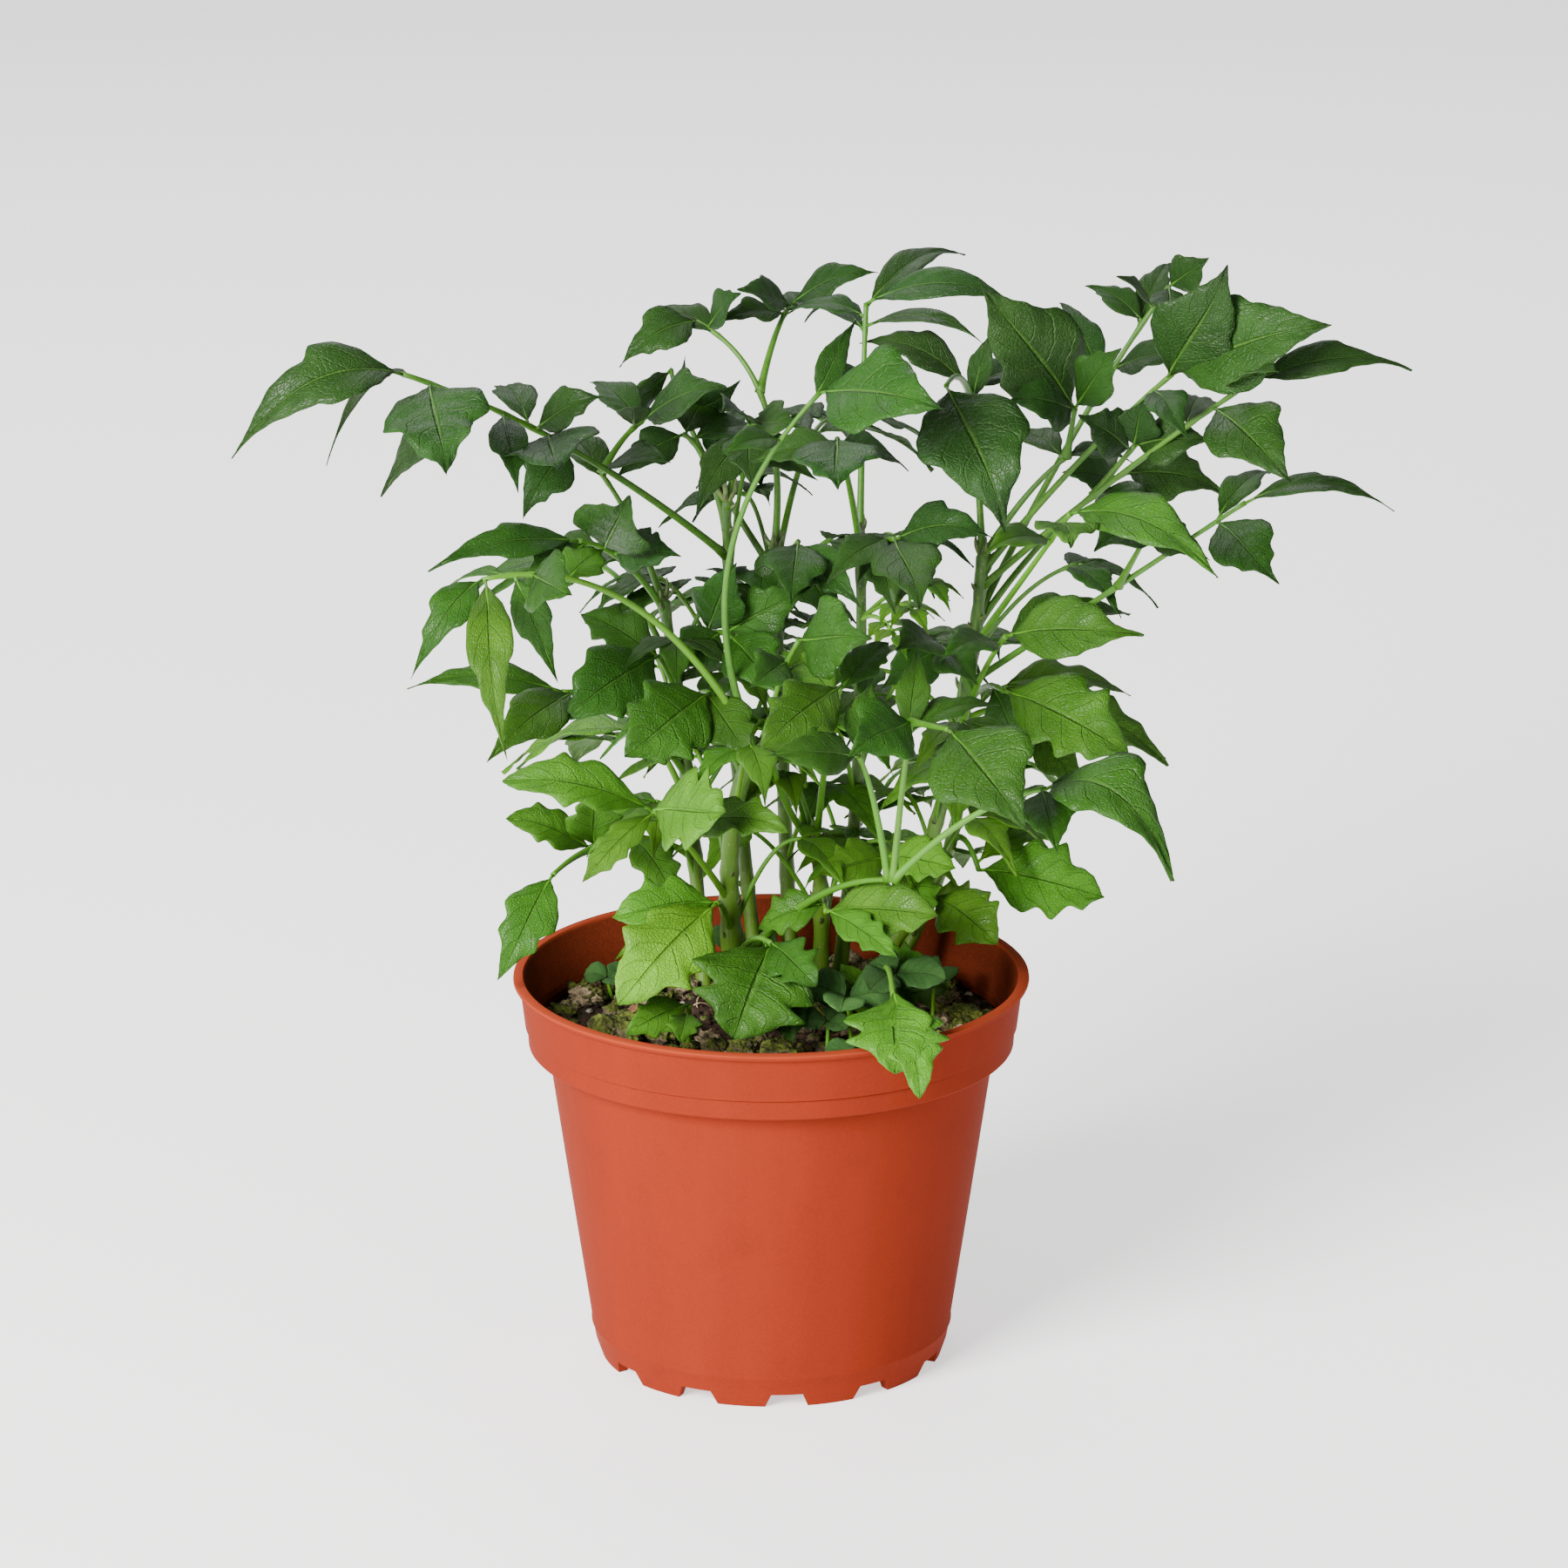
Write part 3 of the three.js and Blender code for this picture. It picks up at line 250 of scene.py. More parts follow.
         blades=[[1, -99, -10, 242, 11, 45], [0.7, -41, -14, 265, 21, 75],
                 [0.75, -74, 40, 226, 12, 40], [0.6, -26, 2, 243, 13, 60],
                 [0.9, -74, -4, 228, 13, 60]]),
    leaf("leaf_left_level", "stem_outer_left", 0.5, [-61, 10, 200], arch=7,
         blades=[[1, -106, 0, 204, 10, 40], [0.9, -82, -22, 188, 15, 55],
                 [0.75, -46, 46, 184, 9, 20]]),
    leaf("leaf_low_left", "stem_outer_left", 0.3, [-53, 22, 148], arch=5,
         blades=[[1, -78, 8, 162, 12, 50], [0.97, -53, 2, 175, 15, 70],
                 [0.8, -64, 54, 138, 10, 30], [0.6, -28, 0, 138, 12, 40]],
         sprays=[
             stalk(1, [-64, 0, 147], arch=1, blades=[[1, -80, -20, 121, 15, 60]]),
         ]),
    leaf("leaf_low_middle", "stem_back_right", 0.3, [33, 8, 150], arch=3,
         blades=[[1, 54, -6, 151, 14, 50], [0.9, 14, -8, 150, 14, 60],
                 [0.6, 46, -8, 136, 12, 60]]),
    leaf("leaf_low_dark", "stem_right", 0.18, [48, 8, 138], arch=3,
         blades=[[1, 66, -14, 130, 17, 50], [0.9, 62, 22, 128, 12, 60]]),
    leaf("leaf_low_right", "stem_back_right", 0.5, [62, 36, 137], arch=5,
         blades=[[1, 99, 22, 133, 22, 52], [0.92, 86, 58, 142, 12, 30],
                 [0.85, 58, 68, 128, 10, 30]]),
    leaf("leaf_behind_right", "stem_back_right", 0.9, [80, 66, 172], arch=5,
         blades=[[1, 94, 58, 152, 13, 50], [0.95, 98, 90, 184, 11, 30],
                 [0.85, 72, 96, 150, 11, 30], [0.97, 119, 56, 166, 12, 40],
                 [0.8, 66, 40, 158, 12, 60]]),
    leaf("leaf_upper_grey", "stem_budding", 0.97, [-6, 44, 272], arch=4,
         blades=[[1, -14, 16, 283, 13, 50], [0.95, 8, 18, 278, 13, 60], [0.9, -5, 16, 260, 14, 65],
                 [0.8, -22, 20, 250, 11, 60], [0.7, 14, 40, 256, 10, 50]]),
    leaf("leaf_upper_green", "stem_tall", 0.95, [19, -6, 280], arch=3,
         blades=[[1, 19, -40, 274, 22, 72], [0.93, 40, 8, 267, 11, 30],
                 [0.9, -6, 0, 271, 11, 40]]),
    leaf("leaf_upper_left", "stem_budding", 0.92, [-26, 56, 266], arch=6,
         blades=[[1, -46, 50, 254, 12, 50], [0.95, -18, 88, 270, 12, 50],
                 [0.8, 2, 74, 262, 10, 30]]),
    leaf("leaf_arch_centre", "stem_tall", 0.9, [36, 6, 247], arch=3,
         blades=[[1, 64, -4, 250, 14, 50, 0.3], [0.97, 42, -38, 238, 18, 70],
                 [0.85, 16, -10, 238, 12, 40], [0.6, 36, 0, 226, 12, 60]]),
    leaf("leaf_middle_grey", "stem_back", 0.8, [8, 34, 239], arch=3,
         blades=[[1, 6, 4, 228, 16, 70], [0.9, 26, 12, 225, 12, 70], [0.8, -8, 36, 214, 12, 40],
                 [0.7, 22, 34, 212, 13, 60]]),
    leaf("leaf_rear_left", "stem_outer_left", 0.75, [-60, 86, 218], arch=12, pairs=2, length=42),
    leaf("leaf_rear_low_left", "stem_outer_left", 0.4, [-48, 92, 160], arch=12, pairs=2,
         length=40),
    leaf("leaf_rear_middle", "stem_back", 0.5, [-6, 118, 196], arch=16, pairs=3, length=44),
    leaf("leaf_rear_top", "stem_back", 0.9, [18, 122, 254], arch=12, pairs=2, length=42),
    leaf("leaf_rear_right", "stem_back_right", 0.97, [60, 114, 184], arch=6, pairs=3, length=40),
    leaf("leaf_rear_low_right", "stem_back_right", 0.55, [62, 104, 146], arch=10, pairs=2,
         length=38),
]

SEEDLINGS = [
    seedling("seedling_right", [30, 4], [33, -14, 122],
             blades=[[0.9, 47, -12, 123, 13, 60], [0.8, 52, 4, 110, 9, 60],
                     [0.85, 14, -28, 117, 11, 60]],
             sprays=[
                 stalk(0.9, [35, -50, 126], arch=6,
                       blades=[[1, 35, -82, 114, 20, 60], [0.9, 42, -86, 108, 11, 60]]),
             ]),
    seedling("seedling_left", [-24, -22], [-24, -30, 117],
             blades=[[1, -42, -48, 114, 11, 60], [0.9, -26, -58, 115, 9, 60]]),
]

# How old a leaf's green is where its height alone doesn't say: 0 is the bright green of new leaves,
# 1 the deep green of old ones.
AGES = {
    "leaf_front_right": 0.42,
    "leaf_glossy_top": 0.62,
    "leaf_drooping": 0.4,
    "leaf_pale_left": 0.16,
    "leaf_pale_centre": 0.45,
    "leaf_centre_front": 0.4,
    "leaf_bright_arch": 0.3,
    "leaf_bottom_front": 0.44,
    "leaf_bottom_left": 0.0,
    "leaf_green_right": 0.14,
    "leaf_low_left": 0.3,
    "seedling_right": 0.1,
    "seedling_left": 0.1,
    "leaf_young_shoot": 0.05,
}

# How deeply the leaflets of a leaf are toothed: 0 is an even edge, 1 a lobed one.
TOOTHING = {
    "leaf_bottom_front": 1.0,
    "leaf_bottom_left": 0.95,
    "leaf_pale_left": 0.85,
    "leaf_green_right": 0.9,
    "leaf_front_right": 0.45,
    "leaf_right_big": 0.75,
    "leaf_low_right": 0.9,
    "leaf_low_left": 0.7,
    "leaf_low_middle": 0.9,
    "leaf_low_dark": 0.9,
    "leaf_dark_left": 0.75,
    "leaf_centre_front": 0.7,
    "leaf_bright_arch": 0.2,
    "leaf_glossy_top": 0.25,
    "leaf_spear_top": 0.1,
    "seedling_right": 0.95,
    "seedling_left": 0.8,
}

USUAL_TOOTHING = 0.46

# How much broader than the rest the leaflets of a leaf are.
BREADTH = {"seedling_right": 1.3, "leaf_bottom_front": 1.12}

# ---------------------------------------------------------------- settings


class PotSettings(bpy.types.PropertyGroup):
    """Sizes and colours of the nursery pot."""

    rim_radius: FloatProperty(
        name="Rim Radius", description="Outer radius of the pot's lip",
        default=POT_HIGH.x, min=0.02, unit="LENGTH")
    height: FloatProperty(
        name="Height", description="From the feet to the top of the rim",
        default=POT_HIGH.z, min=0.02, unit="LENGTH")
    wall: FloatProperty(
        name="Wall", description="Thickness of the moulded wall", default=0.0015, unit="LENGTH")
    colour: FloatVectorProperty(
        name="Colour", description="Colour of the moulded plastic",
        default=(0.178, 0.02, 0.0082), size=3, min=0, max=1, subtype="COLOR")
    # Painted light: the inside of the rim gets its own colour, lighter than the plastic outside, to
    # lift its shade; peat soils it as well.
    inside_colour: FloatVectorProperty(
        name="Inside Colour", description="Colour of the shaded, soiled inside of the rim",
        default=(0.25, 0.036, 0.014), size=3, min=0, max=1, subtype="COLOR")


class SoilSettings(bpy.types.PropertyGroup):
    """The potting mix and what lies in it."""

    relief: FloatProperty(
        name="Relief", description="Height of the lumps of the soil's surface",
        default=0.0034, unit="LENGTH")
    lumps: IntProperty(
        name="Lumps", description="Number of crumbly, mossy pumice lumps", default=88, min=0)
    gravel: IntProperty(
        name="Gravel", description="Number of small pumice stones", default=260, min=0)
    crumbs: IntProperty(
        name="Crumbs", description="Number of loose crumbs of peat", default=800, min=0)
    chips: IntProperty(
        name="Bark Chips", description="Number of bark chips", default=46, min=0)
    roots: IntProperty(
        name="Roots", description="Number of fine dry roots and fibres", default=70, min=0)
    colour: FloatVectorProperty(
        name="Colour", description="Colour of the moist peat",
        default=(0.028, 0.014, 0.008), size=3, min=0, max=1, subtype="COLOR")


class FoliageSettings(bpy.types.PropertyGroup):
    """The shape and the greens of the leaflets."""

    thickness: FloatProperty(
        name="Thickness", description="Thickness of a leaflet", default=0.00035, unit="LENGTH")
    fold: FloatProperty(
        name="Fold", description="Rise of a leaflet's edges above its midrib, over its half width",
        default=0.2, min=0, max=1)
    quilting: FloatProperty(
        name="Quilting", description="Swell between the side veins, over a leaflet's half width",
        default=0.055, min=0, max=0.2)
    inner_leaves: IntProperty(
        name="Inner Leaves", description="Number of small leaves that fill the crown round each stem",
        default=5, min=0)
    young: FloatVectorProperty(
        name="Young Green", description="Colour of the newest and lowest leaflets",
        default=(0.125, 0.36, 0.018), size=3, min=0, max=1, subtype="COLOR")
    middle: FloatVectorProperty(
        name="Middle Green", description="Colour of the grown leaflets",
        default=(0.027, 0.106, 0.0075), size=3, min=0, max=1, subtype="COLOR")
    deep: FloatVectorProperty(
        name="Deep Green", description="Colour of the oldest leaflets",
        default=(0.0165, 0.058, 0.0088), size=3, min=0, max=1, subtype="COLOR")


class StudioSettings(bpy.types.PropertyGroup):
    """The floor and the lights."""

    floor_colour: FloatVectorProperty(
        name="Floor Colour", description="Colour of the plain pale floor",
        default=(0.97, 0.97, 0.97), size=3, min=0, max=1, subtype="COLOR")
    key_power: FloatProperty(
        name="Key Power", description="Power of the large lamp at the upper left",
        default=150, min=0, unit="POWER")
    back_power: FloatProperty(
        name="Back Power", description="Power of the lamp behind the plant",
        default=18, min=0, unit="POWER")


# ---------------------------------------------------------------- material recipes

# The side veins of a leaflet: how many, how far they sweep forward and how they curve. The shape of
# the leaflets and their material share these.
SIDE_VEINS = 6.0
VEIN_SWEEP = 1.5
VEIN_CURVE = 1.15


class Recipe:
    """A material and short ways to add nodes to it."""

    def __init__(self, name):
        self.material = bpy.data.materials.new(name)
        self.material.use_nodes = True
        self.nodes = self.material.node_tree.nodes
        self.links = self.material.node_tree.links
        self.shader = self.nodes["Principled BSDF"]
        self.output = self.nodes["Material Output"]

    def add(self, kind, inputs=None, **settings):
        """Adds a node, sets it up and fills its inputs with values or with other nodes' outputs."""
        node = self.nodes.new("ShaderNode" + kind)
        for key, value in settings.items():
            setattr(node, key, value)
        for key, value in (inputs or {}).items():
            if isinstance(value, bpy.types.NodeSocket):
                self.links.new(value, node.inputs[key])
            else:
                node.inputs[key].default_value = value
        return node

    def place(self):
        return self.add("TexCoord").outputs["Object"]

    def maths(self, operation, *values):
        return self.add("Math", dict(enumerate(values)), operation=operation).outputs[0]

    def mask(self, value, low, high, low_to=0.0, high_to=1.0):
        """A smooth step from low_to to high_to as the value runs from low to high."""
        node = self.add("MapRange", {"Value": value, "From Min": low, "From Max": high,
                                     "To Min": low_to, "To Max": high_to},
                        interpolation_type="SMOOTHSTEP")
        return node.outputs["Result"]

    def mix(self, factor, first, second, mode="MIX"):
        inputs = {0: factor, 6: first, 7: second}
        return self.add("Mix", inputs, data_type="RGBA", blend_type=mode).outputs[2]

    def grain(self, scale, detail=3.0, roughness=0.5, vector=None):
        inputs = {"Vector": vector or self.place(), "Scale": scale, "Detail": detail,
                  "Roughness": roughness}
        return self.add("TexNoise", inputs).outputs["Fac"]

    def bump(self, height, strength, distance, normal=None):
        inputs = {"Height": height, "Strength": strength, "Distance": distance}
        if normal:
            inputs["Normal"] = normal
        return self.add("Bump", inputs).outputs["Normal"]

    def finish(self, **inputs):
        """Fills the surface's own sockets; a name's underscores stand for spaces."""
        for key, value in inputs.items():
            socket = self.shader.inputs[key.replace("_", " ")]
            if isinstance(value, bpy.types.NodeSocket):
                self.links.new(value, socket)
            else:
                socket.default_value = value
        return self.material


def opaque(colour, share=1.0):
    """A colour with its alpha, darkened or lightened to a share of itself."""
    return (*(share * c for c in colour), 1.0)


# Colours that the recipes mix in.
# Painted highlight: the lighter colour of the band along the top of the pot's lip.
LIP_HIGHLIGHT_COLOUR = opaque((0.4, 0.062, 0.022))
DRIED_PEAT = (0.03, 0.012, 0.006, 1)
PALE_PEAT = (0.075, 0.048, 0.02, 1)
PEAT_FIBRE = (0.16, 0.08, 0.035, 1)
# Painted shade for the downward faces of the pumice.
PUMICE_UNDERSIDE_SHADE = (0.018, 0.01, 0.006, 1)
DARK_BARK = (0.06, 0.022, 0.01, 1)
LIGHT_BARK = (0.33, 0.15, 0.06, 1)
DARK_ROOT = (0.09, 0.05, 0.025, 1)
LIGHT_ROOT = (0.36, 0.26, 0.15, 1)
LOW_STEM = (0.1, 0.21, 0.012, 1)
HIGH_STEM = (0.03, 0.09, 0.01, 1)
STEM_RIB = (0.1, 0.22, 0.02, 1)
STEM_SCAB = (0.06, 0.045, 0.015, 1)
STEM_PORE = (0.2, 0.24, 0.1, 1)
FRESH_STALK = (0.07, 0.2, 0.008, 1)
STALK_SHEEN = (0.08, 0.2, 0.015, 1)
LEAF_SHADE = (0.78, 0.8, 0.8, 1)
LEAF_LIGHT = (1.2, 1.16, 1.1, 1)
VEIN_NET = (0.05, 0.14, 0.02, 1)
SIDE_VEIN = (0.085, 0.2, 0.03, 1)
LEAF_GLOW = (0.07, 0.24, 0.006, 1)
WORN_SPOT = (0.05, 0.035, 0.01, 1)
LEAF_DUST = (0.16, 0.27, 0.11, 1)
UNDERSIDE = (0.06, 0.13, 0.03, 1)
DARK_BUD = (0.035, 0.05, 0.014, 1)
LIGHT_BUD = (0.1, 0.16, 0.03, 1)

# Kinds of pumice: the rock's colour, its moss's colour, and the share that is mossy.
MOSSY_PUMICE = ((0.2, 0.155, 0.085), (0.095, 0.115, 0.016), 0.74)
BARE_PUMICE = ((0.36, 0.27, 0.16), (0.1, 0.115, 0.02), 0.2)
MOSSY_GRAVEL = ((0.17, 0.13, 0.075), (0.085, 0.1, 0.016), 0.55)
PERLITE = ((0.36, 0.32, 0.25), (0.09, 0.09, 0.03), 0.0)

# Bands of height over which the pot's lip gets a painted highlight and the stems turn from light
# to deep green.
LIP_HIGHLIGHT_BAND = (POT_HIGH.z - 0.0012, POT_HIGH.z - 0.0002)
STEM_GREENING = (0.1, 0.21)


def plastic(name, colour, soiling):
    """Satin moulded plastic with a fine grain and faint flow marks, soiled by peat in places, and a
    painted highlight along the top of the lip.
    """
    recipe = Recipe(name)
    stretched = recipe.add("Mapping", {"Vector": recipe.place(), "Scale": (1, 1, 0.06)}).outputs[0]
    flow = recipe.grain(55, 4, 0.6, stretched)
    cloud = recipe.grain(14, 3)
    speck = recipe.grain(900, 2, 0.7)
    base = recipe.mix(recipe.mask(flow, 0.25, 0.75), opaque(colour, 0.93), opaque(colour, 1.06))
    base = recipe.mix(recipe.mask(cloud, 0.3, 0.7, 0, 0.35), base, opaque(colour, 0.86))
    dirt = recipe.mask(recipe.grain(70, 6, 0.7), 0.62 - soiling, 0.8 - soiling / 2)
    base = recipe.mix(recipe.maths("MULTIPLY", dirt, soiling), base, DRIED_PEAT)
    freckles = recipe.mask(recipe.grain(1500, 2, 0.5), 0.3, 0.75, 0.0, 0.3)
    base = recipe.mix(freckles, base, opaque(colour, 1.3))
    height = recipe.add("SeparateXYZ", {"Vector": recipe.place()}).outputs["Z"]
    # Painted highlight: a lighter band along the top of the lip.
    base = recipe.mix(recipe.mask(height, *LIP_HIGHLIGHT_BAND, 0, 0.45), base, LIP_HIGHLIGHT_COLOUR)
    rough = recipe.mask(flow, 0.2, 0.8, 0.54, 0.64)
    fine = recipe.bump(speck, 0.25, 0.00012)
    return recipe.finish(Base_Color=base, Roughness=rough, Specular_IOR_Level=0.012,
                         Normal=recipe.bump(cloud, 0.2, 0.0006, fine))


def peat(name, colour):
    """Moist, crumbly potting mix."""
    recipe = Recipe(name)
    clod = recipe.grain(230, 8, 0.75)
    patch = recipe.grain(48, 3)
    base = recipe.mix(recipe.mask(clod, 0.35, 0.7), opaque(colour, 0.45), opaque(colour, 2.3))
    base = recipe.mix(recipe.mask(patch, 0.52, 0.72, 0, 0.4), base, PALE_PEAT)
    fibres = recipe.mask(recipe.grain(650, 2, 0.6), 0.66, 0.72)
    base = recipe.mix(recipe.maths("MULTIPLY", fibres, 0.6), base, PEAT_FIBRE)
    return recipe.finish(Base_Color=base, Roughness=0.93, Specular_IOR_Level=0.25,
                         Normal=recipe.bump(clod, 0.9, 0.0016))


def pumice(name, stone, moss, cover):
    """Pale porous rock with moss over its upper parts, with painted shade in its pores and on its
    downward faces; cover is the share that is mossy.
    """
    recipe = Recipe(name)
    pores = recipe.add("TexVoronoi", {"Vector": recipe.place(), "Scale": 620.0}).outputs["Distance"]
    body = recipe.grain(260, 6, 0.7)
    patch = recipe.grain(130, 5, 0.65)
    normal = recipe.add("NewGeometry").outputs["Normal"]
    up = recipe.add("SeparateXYZ", {"Vector": normal}).outputs["Z"]
    rock = recipe.mix(recipe.mask(body, 0.3, 0.7), opaque(stone, 0.5), opaque(stone, 1.15))
    # Painted shade: the pores darken towards a sixth of the stone's colour.
    rock = recipe.mix(recipe.mask(pores, 0.08, 0.38, 0.85, 0), rock, opaque(stone, 0.16))
    green = recipe.mix(recipe.mask(body, 0.38, 0.62), opaque(moss, 0.25), opaque(moss, 1.4))
    where = recipe.maths("ADD", recipe.maths("MULTIPLY", up, 0.22), patch)
    grown = recipe.mask(where, 0.86 - cover * 0.5, 0.98 - cover * 0.5)
    base = recipe.mix(grown, rock, green)
    # Painted shade: darker where the surface faces down, darkest underneath.
    base = recipe.mix(recipe.mask(up, -0.5, 0.55, 0.7, 0.0), base, PUMICE_UNDERSIDE_SHADE)
    height = recipe.maths("ADD", recipe.maths("MULTIPLY", pores, 0.7), body)
    return recipe.finish(Base_Color=base, Roughness=0.92, Specular_IOR_Level=0.25,
                         Normal=recipe.bump(height, 1.0, 0.0018))


def bark_chip(name):
    """Fibrous orange-brown bark."""
    recipe = Recipe(name)
    fibres = recipe.add("Mapping", {"Vector": recipe.place(), "Scale": (1, 0.2, 0.6)}).outputs[0]
    grain = recipe.grain(700, 5, 0.7, fibres)
    base = recipe.mix(recipe.mask(grain, 0.3, 0.7), DARK_BARK, LIGHT_BARK)
    return recipe.finish(Base_Color=base, Roughness=0.85, Normal=recipe.bump(grain, 0.8, 0.0008))


def dry_root(name):
    """Thin dry roots."""
    recipe = Recipe(name)
    grain = recipe.grain(300, 3)
    base = recipe.mix(recipe.mask(grain, 0.35, 0.65), DARK_ROOT, LIGHT_ROOT)
    return recipe.finish(Base_Color=base, Roughness=0.8)


def stem_bark(name):
    """Smooth bark, ribbed lengthwise and dusted with pale pores, yellower low on the stem."""
    recipe = Recipe(name)
    place = recipe.place()
    long_way = recipe.add("Mapping", {"Vector": place, "Scale": (1, 1, 0.07)}).outputs[0]
    ribs = recipe.grain(900, 3, 0.6, long_way)
    patch = recipe.grain(70, 4, 0.6)
    height = recipe.add("SeparateXYZ", {"Vector": place}).outputs["Z"]
    base = recipe.mix(recipe.mask(height, *STEM_GREENING), LOW_STEM, HIGH_STEM)
    base = recipe.mix(recipe.mask(ribs, 0.35, 0.7, 0, 0.5), base, STEM_RIB)
    base = recipe.mix(recipe.mask(patch, 0.56, 0.72, 0, 0.55), base, STEM_SCAB)
    pores = recipe.add("TexVoronoi", {"Vector": place, "Scale": 420.0}).outputs["Distance"]
    base = recipe.mix(recipe.mask(pores, 0.1, 0.2, 0.55, 0), base, STEM_PORE)
    return recipe.finish(Base_Color=base, Roughness=0.5, Specular_IOR_Level=0.45,
                         Normal=recipe.bump(ribs, 0.5, 0.0004))


def stalk_skin(name):
    """Smooth fresh-green skin of the leaf stalks, lighter on the younger leaves."""
    recipe = Recipe(name)
    tint = recipe.add("Attribute", attribute_name="tint").outputs["Color"]
    grain = recipe.grain(420, 3, 0.6)
    fresh = recipe.mix(0.28, tint, FRESH_STALK)
    base = recipe.mix(recipe.mask(grain, 0.3, 0.7, 0, 0.35), fresh, STALK_SHEEN)
    return recipe.finish(Base_Color=base, Roughness=0.45, Specular_IOR_Level=0.3,
                         Normal=recipe.bump(grain, 0.3, 0.0002))


def leaf_skin(name):
    """Glossy leaflets: a sunken midrib, side veins that sweep forward, a fine net between them, a
    few brown specks, and a paler, duller underside."""
    recipe = Recipe(name)
    flat = recipe.add("UVMap", uv_map="leaflet").outputs["UV"]
    split = recipe.add("SeparateXYZ", {"Vector": flat})
    along = split.outputs["X"]
    out = recipe.maths("ABSOLUTE", recipe.maths("MULTIPLY_ADD", split.outputs["Y"], 2.0, -1.0))
    tint = recipe.add("Attribute", attribute_name="tint").outputs["Color"]
    under = recipe.add("Attribute", attribute_name="under").outputs["Fac"]
    cloud = recipe.grain(75, 4, 0.6)
    speck = recipe.grain(520, 3, 0.6)

    narrowing = recipe.maths("MULTIPLY_ADD", along, -0.055, 0.085)
    midrib = recipe.mask(recipe.maths("DIVIDE", out, narrowing), 0.25, 1.0, 1.0, 0.0)
    sweep = recipe.maths("MULTIPLY", recipe.maths("POWER", out, VEIN_CURVE), -VEIN_SWEEP)
    wander = recipe.maths("MULTIPLY_ADD", cloud, 0.7, sweep)
    phase = recipe.maths("MULTIPLY_ADD", along, SIDE_VEINS, wander)
    ridge = recipe.maths("PINGPONG", phase, 0.5)
    fade = recipe.mask(out, 0.75, 1.0, 1.0, 0.0)
    side_vein = recipe.maths("MULTIPLY", recipe.mask(ridge, 0.01, 0.06, 1.0, 0.0), fade)
    cells = recipe.add("Mapping", {"Vector": flat, "Scale": (34, 20, 1)}).outputs[0]
    edge = recipe.add("TexVoronoi", {"Vector": cells, "Scale": 1.0}, feature="DISTANCE_TO_EDGE",
                      voronoi_dimensions="2D").outputs["Distance"]
    net = recipe.mask(edge, 0.0, 0.2, 1.0, 0.0)

    veins = recipe.maths("MAXIMUM", midrib, recipe.maths("MULTIPLY", side_vein, 0.42))
    light = recipe.mix(recipe.mask(cloud, 0.3, 0.7), LEAF_SHADE, LEAF_LIGHT)
    base = recipe.mix(1.0, tint, light, "MULTIPLY")
    base = recipe.mix(recipe.maths("MULTIPLY", net, 0.16), base, VEIN_NET)
    base = recipe.mix(recipe.maths("MULTIPLY", veins, 0.45), base, SIDE_VEIN)
    worn = recipe.mask(recipe.grain(190, 5, 0.7), 0.69, 0.74, 0, 0.55)
    base = recipe.mix(worn, base, WORN_SPOT)
    dust = recipe.mask(recipe.grain(1900, 2, 0.5), 0.66, 0.72, 0, 0.3)
    base = recipe.mix(dust, base, LEAF_DUST)
    pale = recipe.mix(0.45, base, UNDERSIDE)
    base = recipe.mix(under, base, pale)

    relief = recipe.maths("MULTIPLY_ADD", net, -0.17, recipe.maths("MULTIPLY", veins, -0.9))
    normal = recipe.bump(speck, 0.2, 0.0003, recipe.bump(relief, 0.9, 0.0009))
    gloss = recipe.maths("MULTIPLY_ADD", under, 0.2, recipe.mask(cloud, 0.3, 0.7, 0.33, 0.46))
    recipe.finish(Base_Color=base, Roughness=gloss, Specular_IOR_Level=0.26, Normal=normal)

    glow = recipe.mix(0.45, base, LEAF_GLOW)
    through = recipe.add("BsdfTranslucent", {"Color": glow, "Normal": normal})
    both = recipe.add("MixShader", {0: 0.3, 1: recipe.shader.outputs[0], 2: through.outputs[0]})
    recipe.links.new(both.outputs[0], recipe.output.inputs["Surface"])
    return recipe.material


def bud_skin(name):
    """Dark, furled young leaves at a shoot's end."""
    recipe = Recipe(name)
    grain = recipe.grain(500, 3)
    base = recipe.mix(recipe.mask(grain, 0.3, 0.7), DARK_BUD, LIGHT_BUD)
    return recipe.finish(Base_Color=base, Roughness=0.5, Normal=recipe.bump(grain, 0.3, 0.0003))


def paint(name, recipe, *arguments):
    """The material of that name, made by its recipe the first time it is asked for."""
    return bpy.data.materials.get(name) or recipe(name, *arguments)


# ---------------------------------------------------------------- shaping helpers

# The material slots of a stem's buds and of a leaf's stalks; bark and leaflets have the first.
BUD_SLOT = 1
STALK_SLOT = 1

# A bend flatter than this counts as straight.
STRAIGHT = 1e-3


class Bend:
    """The curve that leaves start, is at middle half way, and reaches end."""

    def __init__(self, start, middle, end):
        self.start = start
        self.end = end
        self.control = 2 * middle - (start + end) / 2

    def at(self, share):
        near = self.start * (1 - share) ** 2
        return near + self.control * (2 * share * (1 - share)) + self.end * share ** 2

    def ahead(self, share):
        first = self.control - self.start
        last = self.end - self.control
        return (first * (1 - share) + last * share).normalized()

    def length(self):
        return (self.end - self.start).length

    def across(self):
        """A direction square to the whole curve, which lies in one plane."""
        square = (self.control - self.start).cross(self.end - self.control)
        if square.length < STRAIGHT * self.length() ** 2:
            square = (self.end - self.start).orthogonal()
        return square.normalized()


